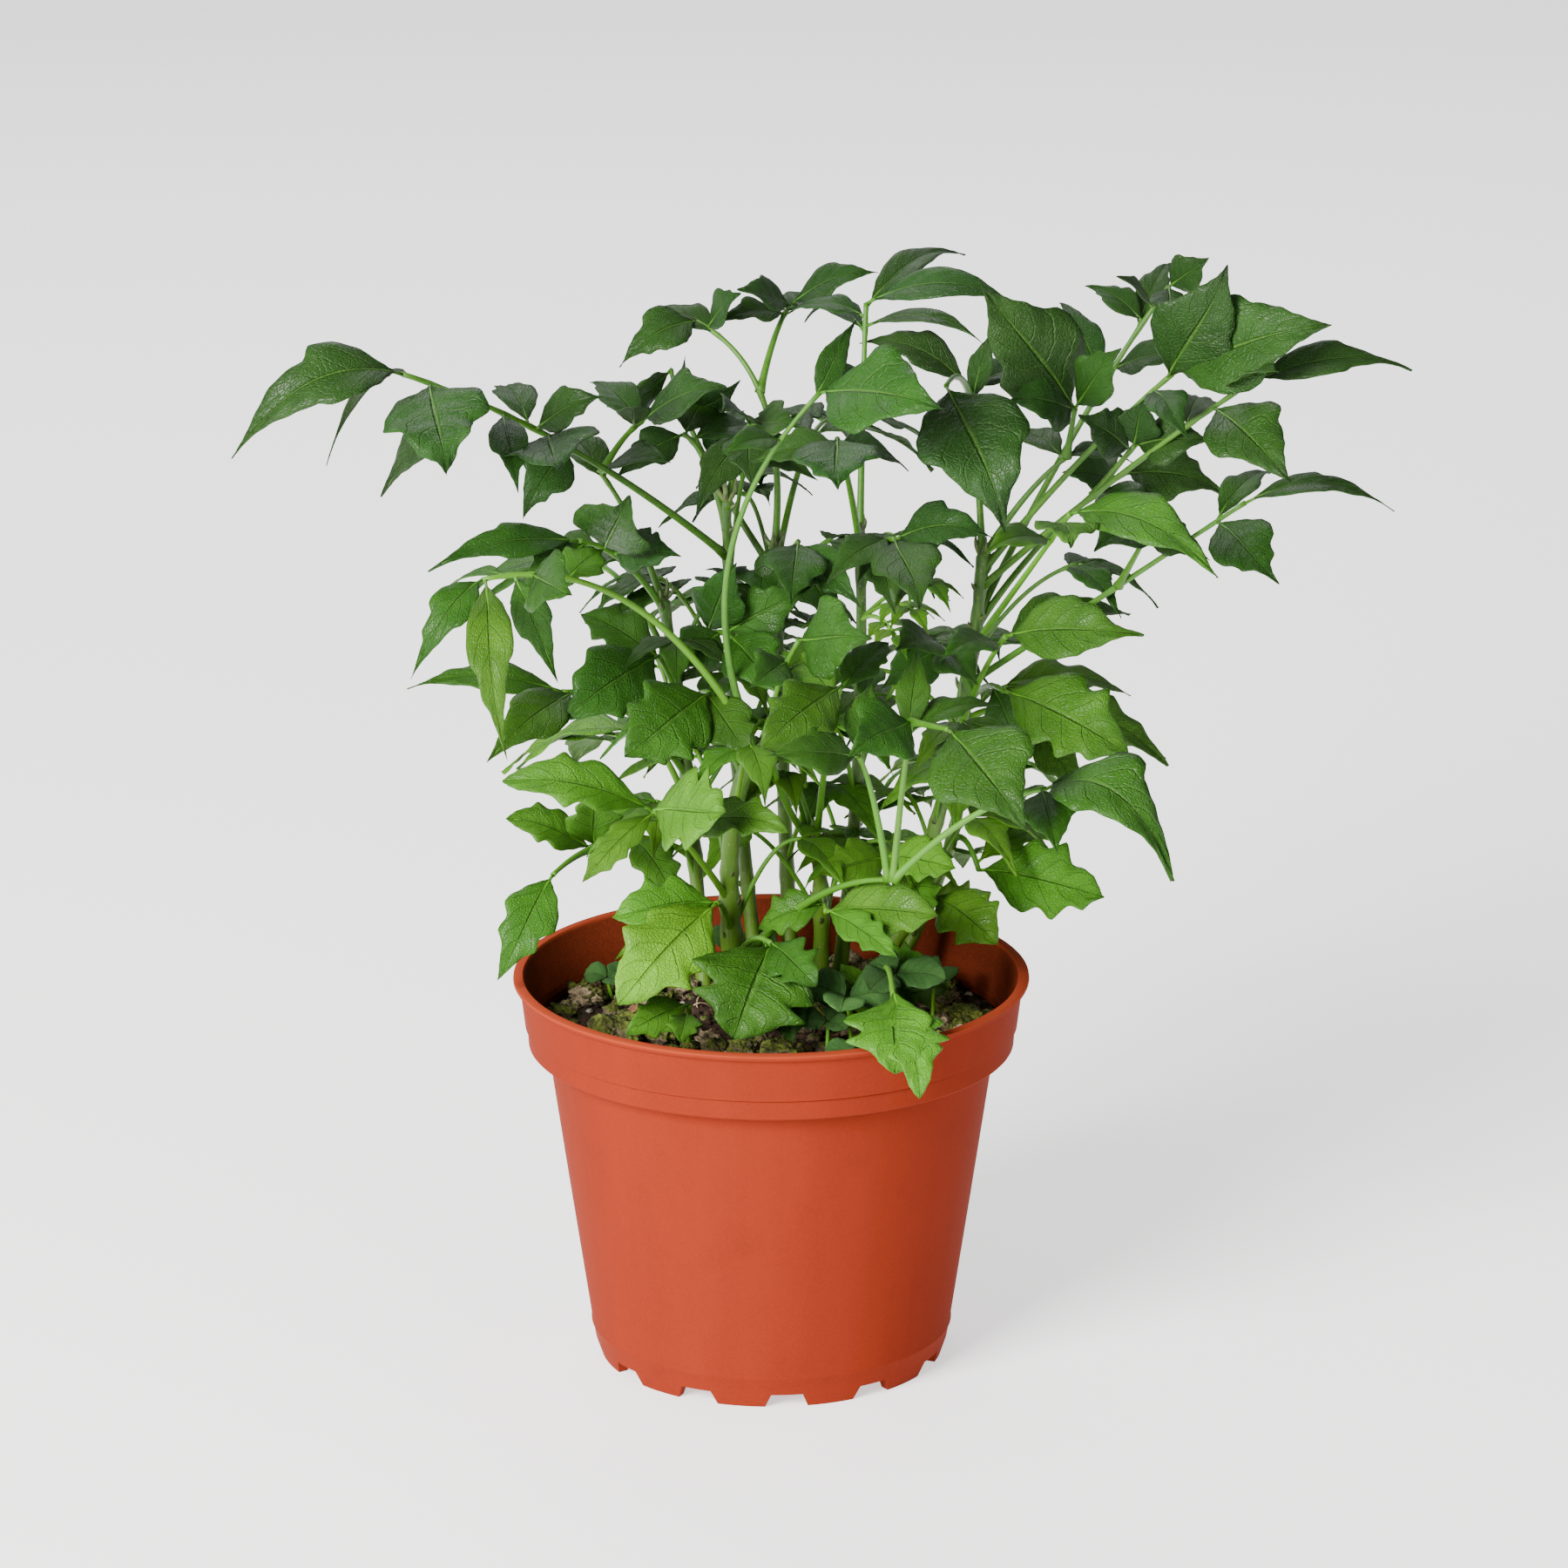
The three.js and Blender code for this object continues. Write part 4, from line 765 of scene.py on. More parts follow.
class Piece:
    """One visible piece, gathered from many small closed parts."""

    def __init__(self, name):
        self.name = name
        self.mesh = bmesh.new()
        self.scratch = bpy.data.meshes.new("scratch")

    def take(self, part, slot=0, smooth=True):
        """Adds a part, which it uses up."""
        for face in part.faces:
            face.material_index = slot
            face.smooth = smooth
        part.to_mesh(self.scratch)
        part.free()
        self.mesh.from_mesh(self.scratch)

    def finish(self, materials, record_slot, *nodes):
        bpy.data.meshes.remove(self.scratch)
        settle(self.name, self.mesh, materials, record_slot, *nodes)


def settle(name, mesh, materials, record_slot, *nodes):
    """Makes a mesh an object of the plant's body, in place of the nodes named."""
    data = bpy.data.meshes.new(name)
    mesh.to_mesh(data)
    mesh.free()
    for material in materials:
        data.materials.append(material)
    piece = bpy.data.objects.new(name, data)
    bpy.context.scene.collection.objects.link(piece)
    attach(piece, "root")
    if nodes:
        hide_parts(*nodes)


def spot(place):
    """A table's place in metres; one without a height is at the soil's level."""
    x, y, z = (*place, SOIL_TOP)[:3]
    return Vector((x, y, z)) * MM


def smooth_step(low, high, value):
    share = min(max((value - low) / (high - low), 0), 1)
    return share * share * (3 - 2 * share)


def between(table, where):
    """Reads a table of [place, value] rows half way between straight lines and smooth steps."""
    for (near, low), (far, high) in zip(table, table[1:]):
        if where <= far:
            smooth = (high - low) * smooth_step(near, far, where) * 0.5
            return low + smooth + (high - low) * (where - near) / (far - near) * 0.5
    return table[-1][1]


def rod(bend, ends, radius_at, sides, steps):
    """A rod between two shares of a bend, as thick as radius_at says at each share."""
    part = bmesh.new()
    bmesh.ops.create_cone(part, cap_ends=True, segments=sides, radius1=1, radius2=1, depth=1)
    long_edges = [edge for edge in part.edges if abs(edge.verts[0].co.z - edge.verts[1].co.z) > 0.5]
    bmesh.ops.subdivide_edges(part, edges=long_edges, cuts=steps - 1)
    side = bend.across()
    for vert in part.verts:
        share = ends[0] + (ends[1] - ends[0]) * (vert.co.z + 0.5)
        up = bend.ahead(share).cross(side)
        radius = radius_at(share)
        vert.co = bend.at(share) + side * (vert.co.x * radius) + up * (vert.co.y * radius)
    return part


def lump(place, radius, squash, seed, detail, unevenness):
    """A closed, uneven lump, turned and shaped by its seed."""
    part = bmesh.new()
    bmesh.ops.create_icosphere(part, subdivisions=detail, radius=1)
    turn = Matrix.Rotation(seed * 2.4, 3, "Z") @ Matrix.Rotation(seed * 1.7, 3, "X")
    shift = Vector((seed * 3.1, seed * 1.9, seed * 0.7))
    for vert in part.verts:
        swell = 1 + unevenness * noise.fractal(vert.co * 1.3 + shift, 0.7, 2.2, 3)
        shape = turn @ (vert.co * swell)
        vert.co = Vector(place) + Vector((shape.x, shape.y, shape.z * squash)) * radius
    return part


# ---------------------------------------------------------------- the pot

COLLAR_HEIGHT = 21 * MM
LIP_REACH = 1.8 * MM
LIP_HEIGHT = 2 * MM
COLLAR_TAPER = 2.6 * MM
COLLAR_STEP = 5.5 * MM
LEDGE_HEIGHT = 6 * MM
LEDGE_DEPTH = 0.5 * MM
BASE_RADIUS = 51 * MM
SKIRT_HEIGHT = 9.7 * MM
SKIRT_FLARE = 2.6 * MM
FLOOR_CLEARANCE = 3.8 * MM
FOOT_WIDTH = 3 * MM
NOTCHES = 12
NOTCH_HEIGHT = 4.2 * MM
NOTCH_WIDTH = 12.5 * MM
NOTCH_SLOPE = 1.6 * MM
NOTCH_TURN = math.radians(5)
BOSS_RADIUS = 9 * MM
DRAIN_HOLES = 6
DRAIN_RADIUS = 4 * MM
DRAIN_CIRCLE = 36 * MM
POT_STEPS = 192
BEAD = 0.45 * MM
OUTSIDE_SOILING = 0.12
INSIDE_SOILING = 0.6
MERGE_WITHIN = 0.01 * MM
SLIVER = 0.005 * MM
SHARP_EDGE = math.radians(40)


def spun(profile, steps):
    """Turns a profile of [radius, height] points about the Z axis into a closed solid."""
    part = bmesh.new()
    verts = [part.verts.new((radius, 0, height)) for radius, height in profile]
    edges = [part.edges.new(pair) for pair in zip(verts, verts[1:])]
    bmesh.ops.spin(part, geom=verts + edges, cent=(0, 0, 0), axis=(0, 0, 1), angle=math.tau,
                   steps=steps, use_merge=True)
    bmesh.ops.remove_doubles(part, verts=part.verts, dist=1e-6)
    bmesh.ops.recalc_face_normals(part, faces=part.faces)
    return part


def notch_cutters():
    """Wedges that cut the castellations of the foot, and drills for the drain holes."""
    cutters = bmesh.new()
    for number in range(NOTCHES):
        made = bmesh.ops.create_cube(cutters, size=1)["verts"]
        for vert in made:
            high = vert.co.z > 0
            width = NOTCH_WIDTH - 2 * NOTCH_SLOPE if high else NOTCH_WIDTH + NOTCH_SLOPE / 2
            vert.co.x *= width
            vert.co.y = vert.co.y * 4 * FOOT_WIDTH - BASE_RADIUS
            vert.co.z = NOTCH_HEIGHT if high else -MM
        turn = Matrix.Rotation(NOTCH_TURN + math.tau * number / NOTCHES, 3, "Z")
        bmesh.ops.rotate(cutters, verts=made, cent=(0, 0, 0), matrix=turn)
    for number in range(DRAIN_HOLES):
        angle = math.tau * number / DRAIN_HOLES
        place = Vector((DRAIN_CIRCLE * math.cos(angle), DRAIN_CIRCLE * math.sin(angle),
                        FLOOR_CLEARANCE + MM))
        bmesh.ops.create_cone(cutters, cap_ends=True, segments=32, radius1=DRAIN_RADIUS,
                              radius2=DRAIN_RADIUS, depth=6 * MM,
                              matrix=Matrix.Translation(place))
    return cutters


def loose_object(name, mesh):
    """A mesh as an object of its own, for a modifier to work on."""
    data = bpy.data.meshes.new(name)
    mesh.to_mesh(data)
    mesh.free()
    made = bpy.data.objects.new(name, data)
    bpy.context.scene.collection.objects.link(made)
    return made


def baked(body):
    """The mesh of an object with its modifiers applied; the object is removed."""
    bpy.context.view_layer.update()
    graph = bpy.context.evaluated_depsgraph_get()
    mesh = bmesh.new()
    mesh.from_mesh(body.evaluated_get(graph).to_mesh())
    bpy.data.objects.remove(body)
    return mesh


class PLANT_OT_pot(bpy.types.Operator):
    """Turn the nursery pot, cut its castellated foot and its drain holes, and shade it smooth but for
    its sharp edges
    """

    bl_idname = "plant.pot"
    bl_label = "Nursery Pot"

    def execute(self, context):
        pot = context.scene.plant_pot
        wall = pot.wall
        collar = pot.rim_radius - LIP_REACH
        collar_foot = collar - COLLAR_TAPER
        body = collar_foot - COLLAR_STEP
        body_top = pot.height - COLLAR_HEIGHT
        ledge = body_top + LEDGE_HEIGHT
        ledge_radius = collar_foot + 2 * LEDGE_DEPTH
        skirt = BASE_RADIUS + SKIRT_FLARE
        floor_top = FLOOR_CLEARANCE + wall
        profile = [
            [0, 0],
            [BOSS_RADIUS, 0],
            [BOSS_RADIUS, FLOOR_CLEARANCE],
            [BASE_RADIUS - FOOT_WIDTH, FLOOR_CLEARANCE],
            [BASE_RADIUS - FOOT_WIDTH, 0],
            [BASE_RADIUS, 0],
            [BASE_RADIUS + SKIRT_FLARE * 0.62, SKIRT_HEIGHT * 0.5],
            [skirt - 0.3 * MM, SKIRT_HEIGHT - 0.9 * MM],
            [skirt + 0.15 * MM, SKIRT_HEIGHT - 0.25 * MM],
            [skirt + 0.15 * MM, SKIRT_HEIGHT + 0.25 * MM],
            [skirt, SKIRT_HEIGHT + 0.9 * MM],
            [(skirt + body) / 2, (SKIRT_HEIGHT + body_top) / 2],
            [body, body_top],
            [collar_foot - BEAD, body_top],
            [collar_foot, body_top + BEAD],
            [collar_foot + LEDGE_DEPTH * 0.7, ledge - 0.5 * LEDGE_DEPTH],
            [collar_foot + LEDGE_DEPTH * 0.4, ledge - 0.1 * LEDGE_DEPTH],
            [ledge_radius, ledge + 0.3 * LEDGE_DEPTH],
            [collar - 0.1 * MM, pot.height - LIP_HEIGHT - 0.5 * MM],
            [collar + 0.5 * MM, pot.height - LIP_HEIGHT],
            [pot.rim_radius - 0.35 * MM, pot.height - LIP_HEIGHT * 0.85],
            [pot.rim_radius, pot.height - LIP_HEIGHT * 0.55],
            [pot.rim_radius - 0.1 * MM, pot.height - 0.3 * MM],
            [pot.rim_radius - 0.6 * MM, pot.height],
            [collar - wall + 0.5 * MM, pot.height],
            [collar - wall, pot.height - 0.5 * MM],
            [ledge_radius - wall, ledge],
            [collar_foot - wall, ledge - MM],
            [collar_foot - wall, body_top + wall],
            [body - wall, body_top + wall],
            [skirt - wall, SKIRT_HEIGHT],
            [BASE_RADIUS - wall / 2, floor_top],
            [0, floor_top],
        ]
        shell = loose_object("pot_shell", spun(profile, POT_STEPS))
        cutters = loose_object("pot_cutters", notch_cutters())
        cut = shell.modifiers.new("notches and holes", "BOOLEAN")
        cut.object = cutters
        cut.operation = "DIFFERENCE"
        cut.solver = "EXACT"
        mesh = baked(shell)
        bpy.data.objects.remove(cutters)
        bmesh.ops.remove_doubles(mesh, verts=mesh.verts, dist=MERGE_WITHIN)
        bmesh.ops.dissolve_degenerate(mesh, edges=mesh.edges, dist=SLIVER)
        for face in mesh.faces:
            centre = face.calc_center_median()
            reach = math.hypot(centre.x, centre.y)
            inward = face.normal.x * centre.x + face.normal.y * centre.y < -0.2 * reach
            face.smooth = True
            face.material_index = 1 if inward and centre.z > floor_top else 0
        for edge in mesh.edges:
            edge.smooth = edge.calc_face_angle(0) < SHARP_EDGE
        # The inward faces take the lighter inside colour: painted light that lifts the shade inside
        # the rim.
        settle("pot_fine", mesh, [
            paint("moulded plastic", plastic, pot.colour, OUTSIDE_SOILING),
            paint("soiled plastic", plastic, pot.inside_colour, INSIDE_SOILING),
        ], "pot_plastic", "pot")
        return {"FINISHED"}


# ---------------------------------------------------------------- the soil and what lies in it

SOIL_EDGE = 69.6 * MM
SOIL_STEPS = 200
SOIL_RING = 1.1 * MM
SHELF_HEIGHT = 92.5 * MM
SHELF_RADIUS = 64.2 * MM
INNER_REACH = 12 * MM
OUTER_REACH = SOIL_EDGE - 2.5 * MM
PERLITE_SIZE = 1.7 * MM
CHIP_LIFT = 0.6 * MM
STONE_FULLNESS = 0.93


def soil_height(x, y, relief):
    """The height of the soil's surface: clods and dips, a slight rise to the middle, a low edge."""
    place = Vector((x, y, 0))
    broad = noise.fractal(place * 42, 0.9, 2.0, 2)
    clods = noise.fractal(place * 150 + Vector((3, 7, 1)), 0.7, 2.1, 3)
    crumbs = noise.fractal(place * 520 + Vector((9, 2, 5)), 0.6, 2.2, 2)
    reach = math.hypot(x, y) / SOIL_EDGE
    rise = 0.35 * (1 - reach ** 2) - 0.5 * smooth_step(0.85, 1.0, reach)
    return SOIL_TOP * MM + relief * (rise + 0.45 * broad + 0.35 * clods + 0.16 * crumbs)


class PLANT_OT_soil(bpy.types.Operator):
    """Fill the pot with crumbly potting mix"""

    bl_idname = "plant.soil"
    bl_label = "Potting Mix"

    def execute(self, context):
        soil = context.scene.plant_soil
        top = SOIL_TOP * MM
        shelf = SOIL_FLOOR + SHELF_HEIGHT
        profile = [
            [0, SOIL_FLOOR],
            [BASE_RADIUS - 1.8 * MM, SOIL_FLOOR],
            [BASE_RADIUS + 0.6 * MM, SKIRT_HEIGHT],
            [SHELF_RADIUS, shelf],
            [SOIL_EDGE, shelf + 0.4 * MM],
            [SOIL_EDGE, top - MM],
        ]
        rings = int(SOIL_EDGE / SOIL_RING)
        for ring in range(rings + 1):
            profile.append([SOIL_EDGE * (1 - ring / rings), top])
        mesh = spun(profile, SOIL_STEPS)
        for vert in mesh.verts:
            if vert.co.z > top - MERGE_WITHIN:
                vert.co.z = soil_height(vert.co.x, vert.co.y, soil.relief)
        for face in mesh.faces:
            face.smooth = True
        mix = paint("potting mix", peat, soil.colour)
        settle("soil_fine", mesh, [mix], "soil", "soil")
        return {"FINISHED"}


class PLANT_OT_stones(bpy.types.Operator):
    """Lay the four large mossy pumice stones"""

    bl_idname = "plant.stones"
    bl_label = "Mossy Stones"

    def execute(self, context):
        rock = paint("mossy pumice", pumice, *MOSSY_PUMICE)
        for number, stone in enumerate(STONES):
            low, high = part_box(stone["name"])
            centre = (low + high) / 2
            half = (high - low) / 2
            part = lump((0, 0, 0), 1, 1, number + 2.3, 5, 0.34)
            for vert in part.verts:
                grit = 1 + 0.09 * noise.fractal(vert.co * 6, 0.5, 2.2, 4)
                vert.co = centre + Vector((vert.co.x * half.x, vert.co.y * half.y,
                                           vert.co.z * half.z)) * (STONE_FULLNESS * grit)
            for face in part.faces:
                face.smooth = True
            settle(stone["name"] + "_fine", part, [rock], "pumice", stone["name"])
        return {"FINISHED"}


def scatter(rng, low_radius, high_radius):
    """A random place on the soil between two radii."""
    reach = math.sqrt(rng.uniform(low_radius ** 2, high_radius ** 2))
    angle = rng.uniform(0, math.tau)
    return reach * math.cos(angle), reach * math.sin(angle)


def on_soil(x, y, relief, above):
    """A place above the soil's surface."""
    return Vector((x, y, soil_height(x, y, relief) + above))


def lay_lumps(soil, rng):
    """Large pumice lumps, two in three of them mossy."""
    lumps = Piece("pumice_lumps")
    for number in range(soil.lumps):
        size = rng.uniform(2.8, 5.6) * MM
        x, y = scatter(rng, INNER_REACH, OUTER_REACH - size * 0.5)
        part = lump((0, 0, 0), 1, rng.uniform(0.6, 0.9), number * 0.83, 4, 0.5)
        place = on_soil(x, y, soil.relief, size * rng.uniform(0.2, 0.6))
        shift = Vector((number, 0, 0))
        for vert in part.verts:
            grit = 1 + 0.2 * noise.fractal(vert.co * 3.6 + shift, 0.5, 2.2, 3)
            vert.co = place + vert.co * (size * grit)
        lumps.take(part, int(number % 3 == 2))
    lumps.finish([paint("mossy pumice", pumice, *MOSSY_PUMICE),
                  paint("bare pumice", pumice, *BARE_PUMICE)], "pumice")


def lay_gravel(soil, rng):
    """Small pumice stones, and among the smallest some clean white perlite."""
    mossy = Piece("pumice_gravel")
    clean = Piece("pumice_grit")
    for number in range(soil.gravel):
        x, y = scatter(rng, 0, OUTER_REACH)
        size = rng.choice((0.9, 1.2, 1.6, 2.1, 2.6)) * rng.uniform(0.85, 1.15) * MM
        place = on_soil(x, y, soil.relief, size * rng.uniform(0.05, 0.45))
        part = lump(place, size, rng.uniform(0.6, 0.9), number * 0.37, 2, 0.55)
        is_clean = size < PERLITE_SIZE and rng.random() < 0.3
        (clean if is_clean else mossy).take(part)
    mossy.finish([paint("mossy gravel", pumice, *MOSSY_GRAVEL)], "pumice")
    clean.finish([paint("perlite", pumice, *PERLITE)], "pumice")


def lay_crumbs(soil, rng):
    """Loose crumbs of peat."""
    crumbs = Piece("peat_crumbs")
    for number in range(soil.crumbs):
        x, y = scatter(rng, 0, OUTER_REACH)
        size = rng.uniform(0.5, 1.7) * MM
        place = on_soil(x, y, soil.relief, size * 0.3)
        crumbs.take(lump(place, size, rng.uniform(0.5, 0.9), number * 0.61, 1, 0.5))
    crumbs.finish([paint("potting mix", peat, soil.colour)], "soil")


def lay_chips(soil, rng):
    """Ragged flat chips of bark."""
    chips = Piece("bark_chips")
    for number in range(soil.chips):
        x, y = scatter(rng, 10 * MM, OUTER_REACH - 2 * MM)
        part = bmesh.new()
        bmesh.ops.create_cube(part, size=1)
        bmesh.ops.subdivide_edges(part, edges=part.edges, cuts=2, use_grid_fill=True)
        half = Vector((rng.uniform(1.6, 4.8), rng.uniform(0.8, 1.9), rng.uniform(0.4, 0.8))) * MM
        turn = Matrix.Rotation(rng.uniform(0, math.tau), 3, "Z")
        turn = turn @ Matrix.Rotation(rng.uniform(-0.45, 0.45), 3, "X")
        turn = turn @ Matrix.Rotation(rng.uniform(-0.4, 0.4), 3, "Y")
        place = on_soil(x, y, soil.relief, CHIP_LIFT)
        for vert in part.verts:
            ragged = 1 + 0.35 * noise.noise(vert.co * 4 + Vector((number, 0, 0)))
            shape = Vector((vert.co.x * half.x, vert.co.y * half.y, vert.co.z * half.z)) * 2
            vert.co = place + turn @ (shape * ragged)
        chips.take(part, smooth=False)
    chips.finish([paint("bark chip", bark_chip)], "soil")


def lay_roots(soil, rng):
    """Fine dry roots that arch a little off the soil."""
    roots = Piece("fine_roots")
    for number in range(soil.roots):
        x, y = scatter(rng, 4 * MM, OUTER_REACH - 6 * MM)
        angle = rng.uniform(0, math.tau)
        reach = rng.uniform(5, 15) * MM
        far_x, far_y = x + reach * math.cos(angle), y + reach * math.sin(angle)
        if math.hypot(far_x, far_y) > OUTER_REACH:
            continue
        start = on_soil(x, y, soil.relief, -0.3 * MM)
        end = on_soil(far_x, far_y, soil.relief, -0.2 * MM)
        sway = Vector((-math.sin(angle), math.cos(angle), 0)) * rng.uniform(-3, 3) * MM
        middle = (start + end) / 2 + sway + Vector((0, 0, rng.uniform(0.8, 2.6) * MM))
        thick = rng.uniform(0.12, 0.34) * MM
        roots.take(rod(Bend(start, middle, end), (0, 1), lambda share: thick, 5, 7))
    roots.finish([paint("dry root", dry_root)], "soil")


class PLANT_OT_gravel(bpy.types.Operator):
    """Scatter mossy pumice gravel, white perlite, peat crumbs, bark chips and fine dry roots"""

    bl_idname = "plant.gravel"
    bl_label = "Gravel, Bark and Roots"

    def execute(self, context):
        rng = random.Random("gravel")
        for lay in (lay_lumps, lay_gravel, lay_crumbs, lay_chips, lay_roots):
            lay(context.scene.plant_soil, rng)
        return {"FINISHED"}


# ---------------------------------------------------------------- stems

# How far a stem goes on below the soil, as a share of its length.
ROOT_SHARE = 0.2
LEAF_SCARS = [0.18, 0.42, 0.63]
STEM_FINENESS = 0.97
TIP_SHARE = 0.985
FURLED_LEAVES = 4
BUDDING_LEAVES = 8


def stem_bend(stem):
    return Bend(spot(stem["foot"]), spot(stem["middle"]), spot(stem["top"]))


def swelling(where, centre, reach):
    """A smooth knuckle round a joint, 1 at its centre."""
    return math.exp(-((where - centre) / reach) ** 2)


def stem_radius(stem, length, joints):
    """The function that gives a stem's radius at a share of its length."""
    foot, top = (radius * MM for radius in stem["radius"])

    def radius_at(share):
        base = foot + (top - foot) * share
        base *= 1 + 0.22 * math.exp(-max(share, 0) * length / (4 * MM))
        base *= 1 + 0.28 * max([swelling(share, j, 3.2 * MM / length) for j in joints] + [0])
        base *= 1 + 0.14 * max(swelling(share, scar, 2 * MM / length) for scar in LEAF_SCARS)
        return base * (1 - 0.55 * smooth_step(TIP_SHARE, 1.0, share)) * STEM_FINENESS

    return radius_at


def side_bud(bend, share, radius, rng):
    """A small bud that leans off the stem."""
    angle = rng.uniform(0, math.tau)
    ahead = bend.ahead(share)
    out = ahead.orthogonal().normalized()
    out.rotate(Matrix.Rotation(angle, 3, ahead))
    start = bend.at(share) + out * radius * 0.6
    tip = start + out * 1.9 * MM + ahead * 2.6 * MM
    bud = Bend(start, (start + tip) / 2 + out * 0.5 * MM, tip)
    return rod(bud, (0, 1), lambda t: (1.05 - t) * 0.95 * MM, 8, 5)


def furled_leaf(bend, number, is_budding, rng):
    """A furled young leaf at the stem's tip."""
    angle = number * 2.4 + rng.uniform(-0.3, 0.3)
    tall = rng.uniform(4, 8) * MM * (1.3 if is_budding else 1)
    lean = Vector((math.cos(angle), math.sin(angle), 0)) * rng.uniform(1.2, 3.6) * MM
    start = bend.at(TIP_SHARE)
    tip = start + bend.ahead(1) * tall + lean
    middle = (start + tip) / 2 + lean * 0.35
    plump = rng.uniform(0.75, 1.15) * MM
    return rod(Bend(start, middle, tip), (0, 1), lambda t: plump * (1.05 - t) ** 0.6, 8, 7)


class PLANT_OT_stems(bpy.types.Operator):
    """Grow the stems with their leaf joints, leaf scars, side buds and furled tips"""

    bl_idname = "plant.stems"
    bl_label = "Stems"

    def execute(self, context):
        for stem in STEMS:
            rng = random.Random(stem["name"])
            bend = stem_bend(stem)
            joints = [leaf["from"] for leaf in LEAVES if leaf["stem"] == stem["name"]]
            radius_at = stem_radius(stem, bend.length(), joints)
            piece = Piece(stem["name"] + "_fine")
            piece.take(rod(bend, (-ROOT_SHARE, 1), radius_at, 16, 64))
            for share in LEAF_SCARS + joints:
                if share >= 0.1:
                    piece.take(side_bud(bend, share, radius_at(share), rng), BUD_SLOT)
            is_budding = stem["name"] == "stem_budding"
            for number in range(BUDDING_LEAVES if is_budding else FURLED_LEAVES):
                piece.take(furled_leaf(bend, number, is_budding, rng), BUD_SLOT)
            skins = [paint("stem bark", stem_bark), paint("bud", bud_skin)]
            piece.finish(skins, "stem", stem["name"])
        return {"FINISHED"}


# ---------------------------------------------------------------- leaves

# Half width of a leaflet along its midrib, from its short stalk to its tip: of a grown leaflet with
# its drawn-out tip, of a young lobed one, and of a sprout's round leaf.
OUTLINE = [
    [0.0, 0.05], [0.05, 0.28], [0.14, 0.66], [0.26, 0.94], [0.37, 1.0], [0.5, 0.88],
    [0.63, 0.6], [0.75, 0.3], [0.86, 0.13], [0.94, 0.055], [1.0, 0.01],
]
LOBED_OUTLINE = [
    [0.0, 0.05], [0.06, 0.2], [0.16, 0.5], [0.3, 0.84], [0.44, 1.0], [0.58, 0.98],
    [0.72, 0.78], [0.84, 0.48], [0.93, 0.22], [1.0, 0.02],
]
ROUND_OUTLINE = [
    [0.0, 0.06], [0.08, 0.45], [0.24, 0.88], [0.46, 1.0], [0.7, 0.9], [0.88, 0.58], [1.0, 0.08],
]
# How much broader a leaflet is drawn than its table says, and how much more when it is lobed.
FULLNESS = 1.06
LOBED_EXTRA = 0.2
# The grid of a leaflet longer than LONG_LEAFLET; a shorter one has half the rows.
LEAFLET_ROWS = 48
LEAFLET_COLUMNS = 10
LONG_LEAFLET = 28 * MM
# The share of a leaflet that is its own short stalk, and how far it bows where its table is silent.
LEAFLET_STALK = 0.055
BOW = 0.15
# How far a leaflet thins towards its tip.
TIP_THINNESS = 0.3
# A side with more toothing than LOBED_FROM has lobes; the outline is a lobed one over LOBED_RANGE.
LOBED_FROM = 0.62
LOBED_RANGE = (0.5, 0.85)
# The set of the paired leaflets.
PAIR_SWING = math.radians(55)
PAIR_DROOP = math.radians(20)
END_DROOP = math.radians(29)
PAIR_SLIMNESS = 0.42
# Stalk radii in millimetres, and the share of them that shows.
STALK_RADIUS = 1.4
STALK_TIP_RADIUS = 0.8
INNER_STALK_RADIUS = 0.95
SHOOT_STALK_RADIUS = 0.8
SPROUT_STALK_RADIUS = 0.55
STALK_FINENESS = 0.8
# The height that the inner leaves stop at.
CROWN_TOP = 282
# Greens: a leaf ages with its height over AGEING_HEIGHTS, and its stalk is younger than it is.
AGEING_HEIGHTS = (125, 270)
OLDEST_BY_HEIGHT = 0.95
YOUTH_FADE = 0.6
STALK_YOUTH = 0.75
RIB_BRIGHTNESS = 1.25
SEEDLING_DEPTH = 12


def leaf_tint(foliage, age, rng):
    """A leaflet's green at an age from 0 to 1, a little off its neighbours'."""
    young, middle, deep = map(Vector, (foliage.young, foliage.middle, foliage.deep))
    age = min(max(age + rng.uniform(-0.1, 0.1), 0), 1)
    if age < 0.5:
        tint = young.lerp(middle, (age * 2) ** YOUTH_FADE)
    else:
        tint = middle.lerp(deep, age * 2 - 1)
    tint *= rng.uniform(0.85, 1.15)
    tint.x *= rng.uniform(0.85, 1.2)
    return tint


def cut_back(where, teeth):
    """How far in the edge is cut: it drops behind each tooth's point and recovers by the next."""
    cut = 0
    for point, after, depth, blunt in teeth:
        drop = smooth_step(point - blunt / 2, point + blunt, where)
        recovery = smooth_step(point + blunt, after, where)
        cut = max(cut, depth * drop * (1 - recovery))
    return cut


def teeth_of(rng, toothing):
    """The forward-pointing teeth of one side: each one's point, the next one's, the depth of the
    cut behind it and its bluntness."""
    lobed = toothing > LOBED_FROM
    count = rng.choice((2, 2, 3)) if lobed else rng.choice((1, 1, 2))
    first = rng.uniform(0.34, 0.46) if lobed else rng.uniform(0.4, 0.5)
    step = rng.uniform(0.2, 0.24) if lobed else rng.uniform(0.18, 0.24)
    points = [first + step * i + rng.uniform(-0.02, 0.02) for i in range(count)]
    depth = (0.42 if lobed else 0.55) * toothing
    blunt = 0.078 if lobed else 0.045
    return [(point, after, depth * rng.uniform(0.75, 1.15), blunt)
            for point, after in zip(points, points[1:] + [points[-1] + 0.42])]


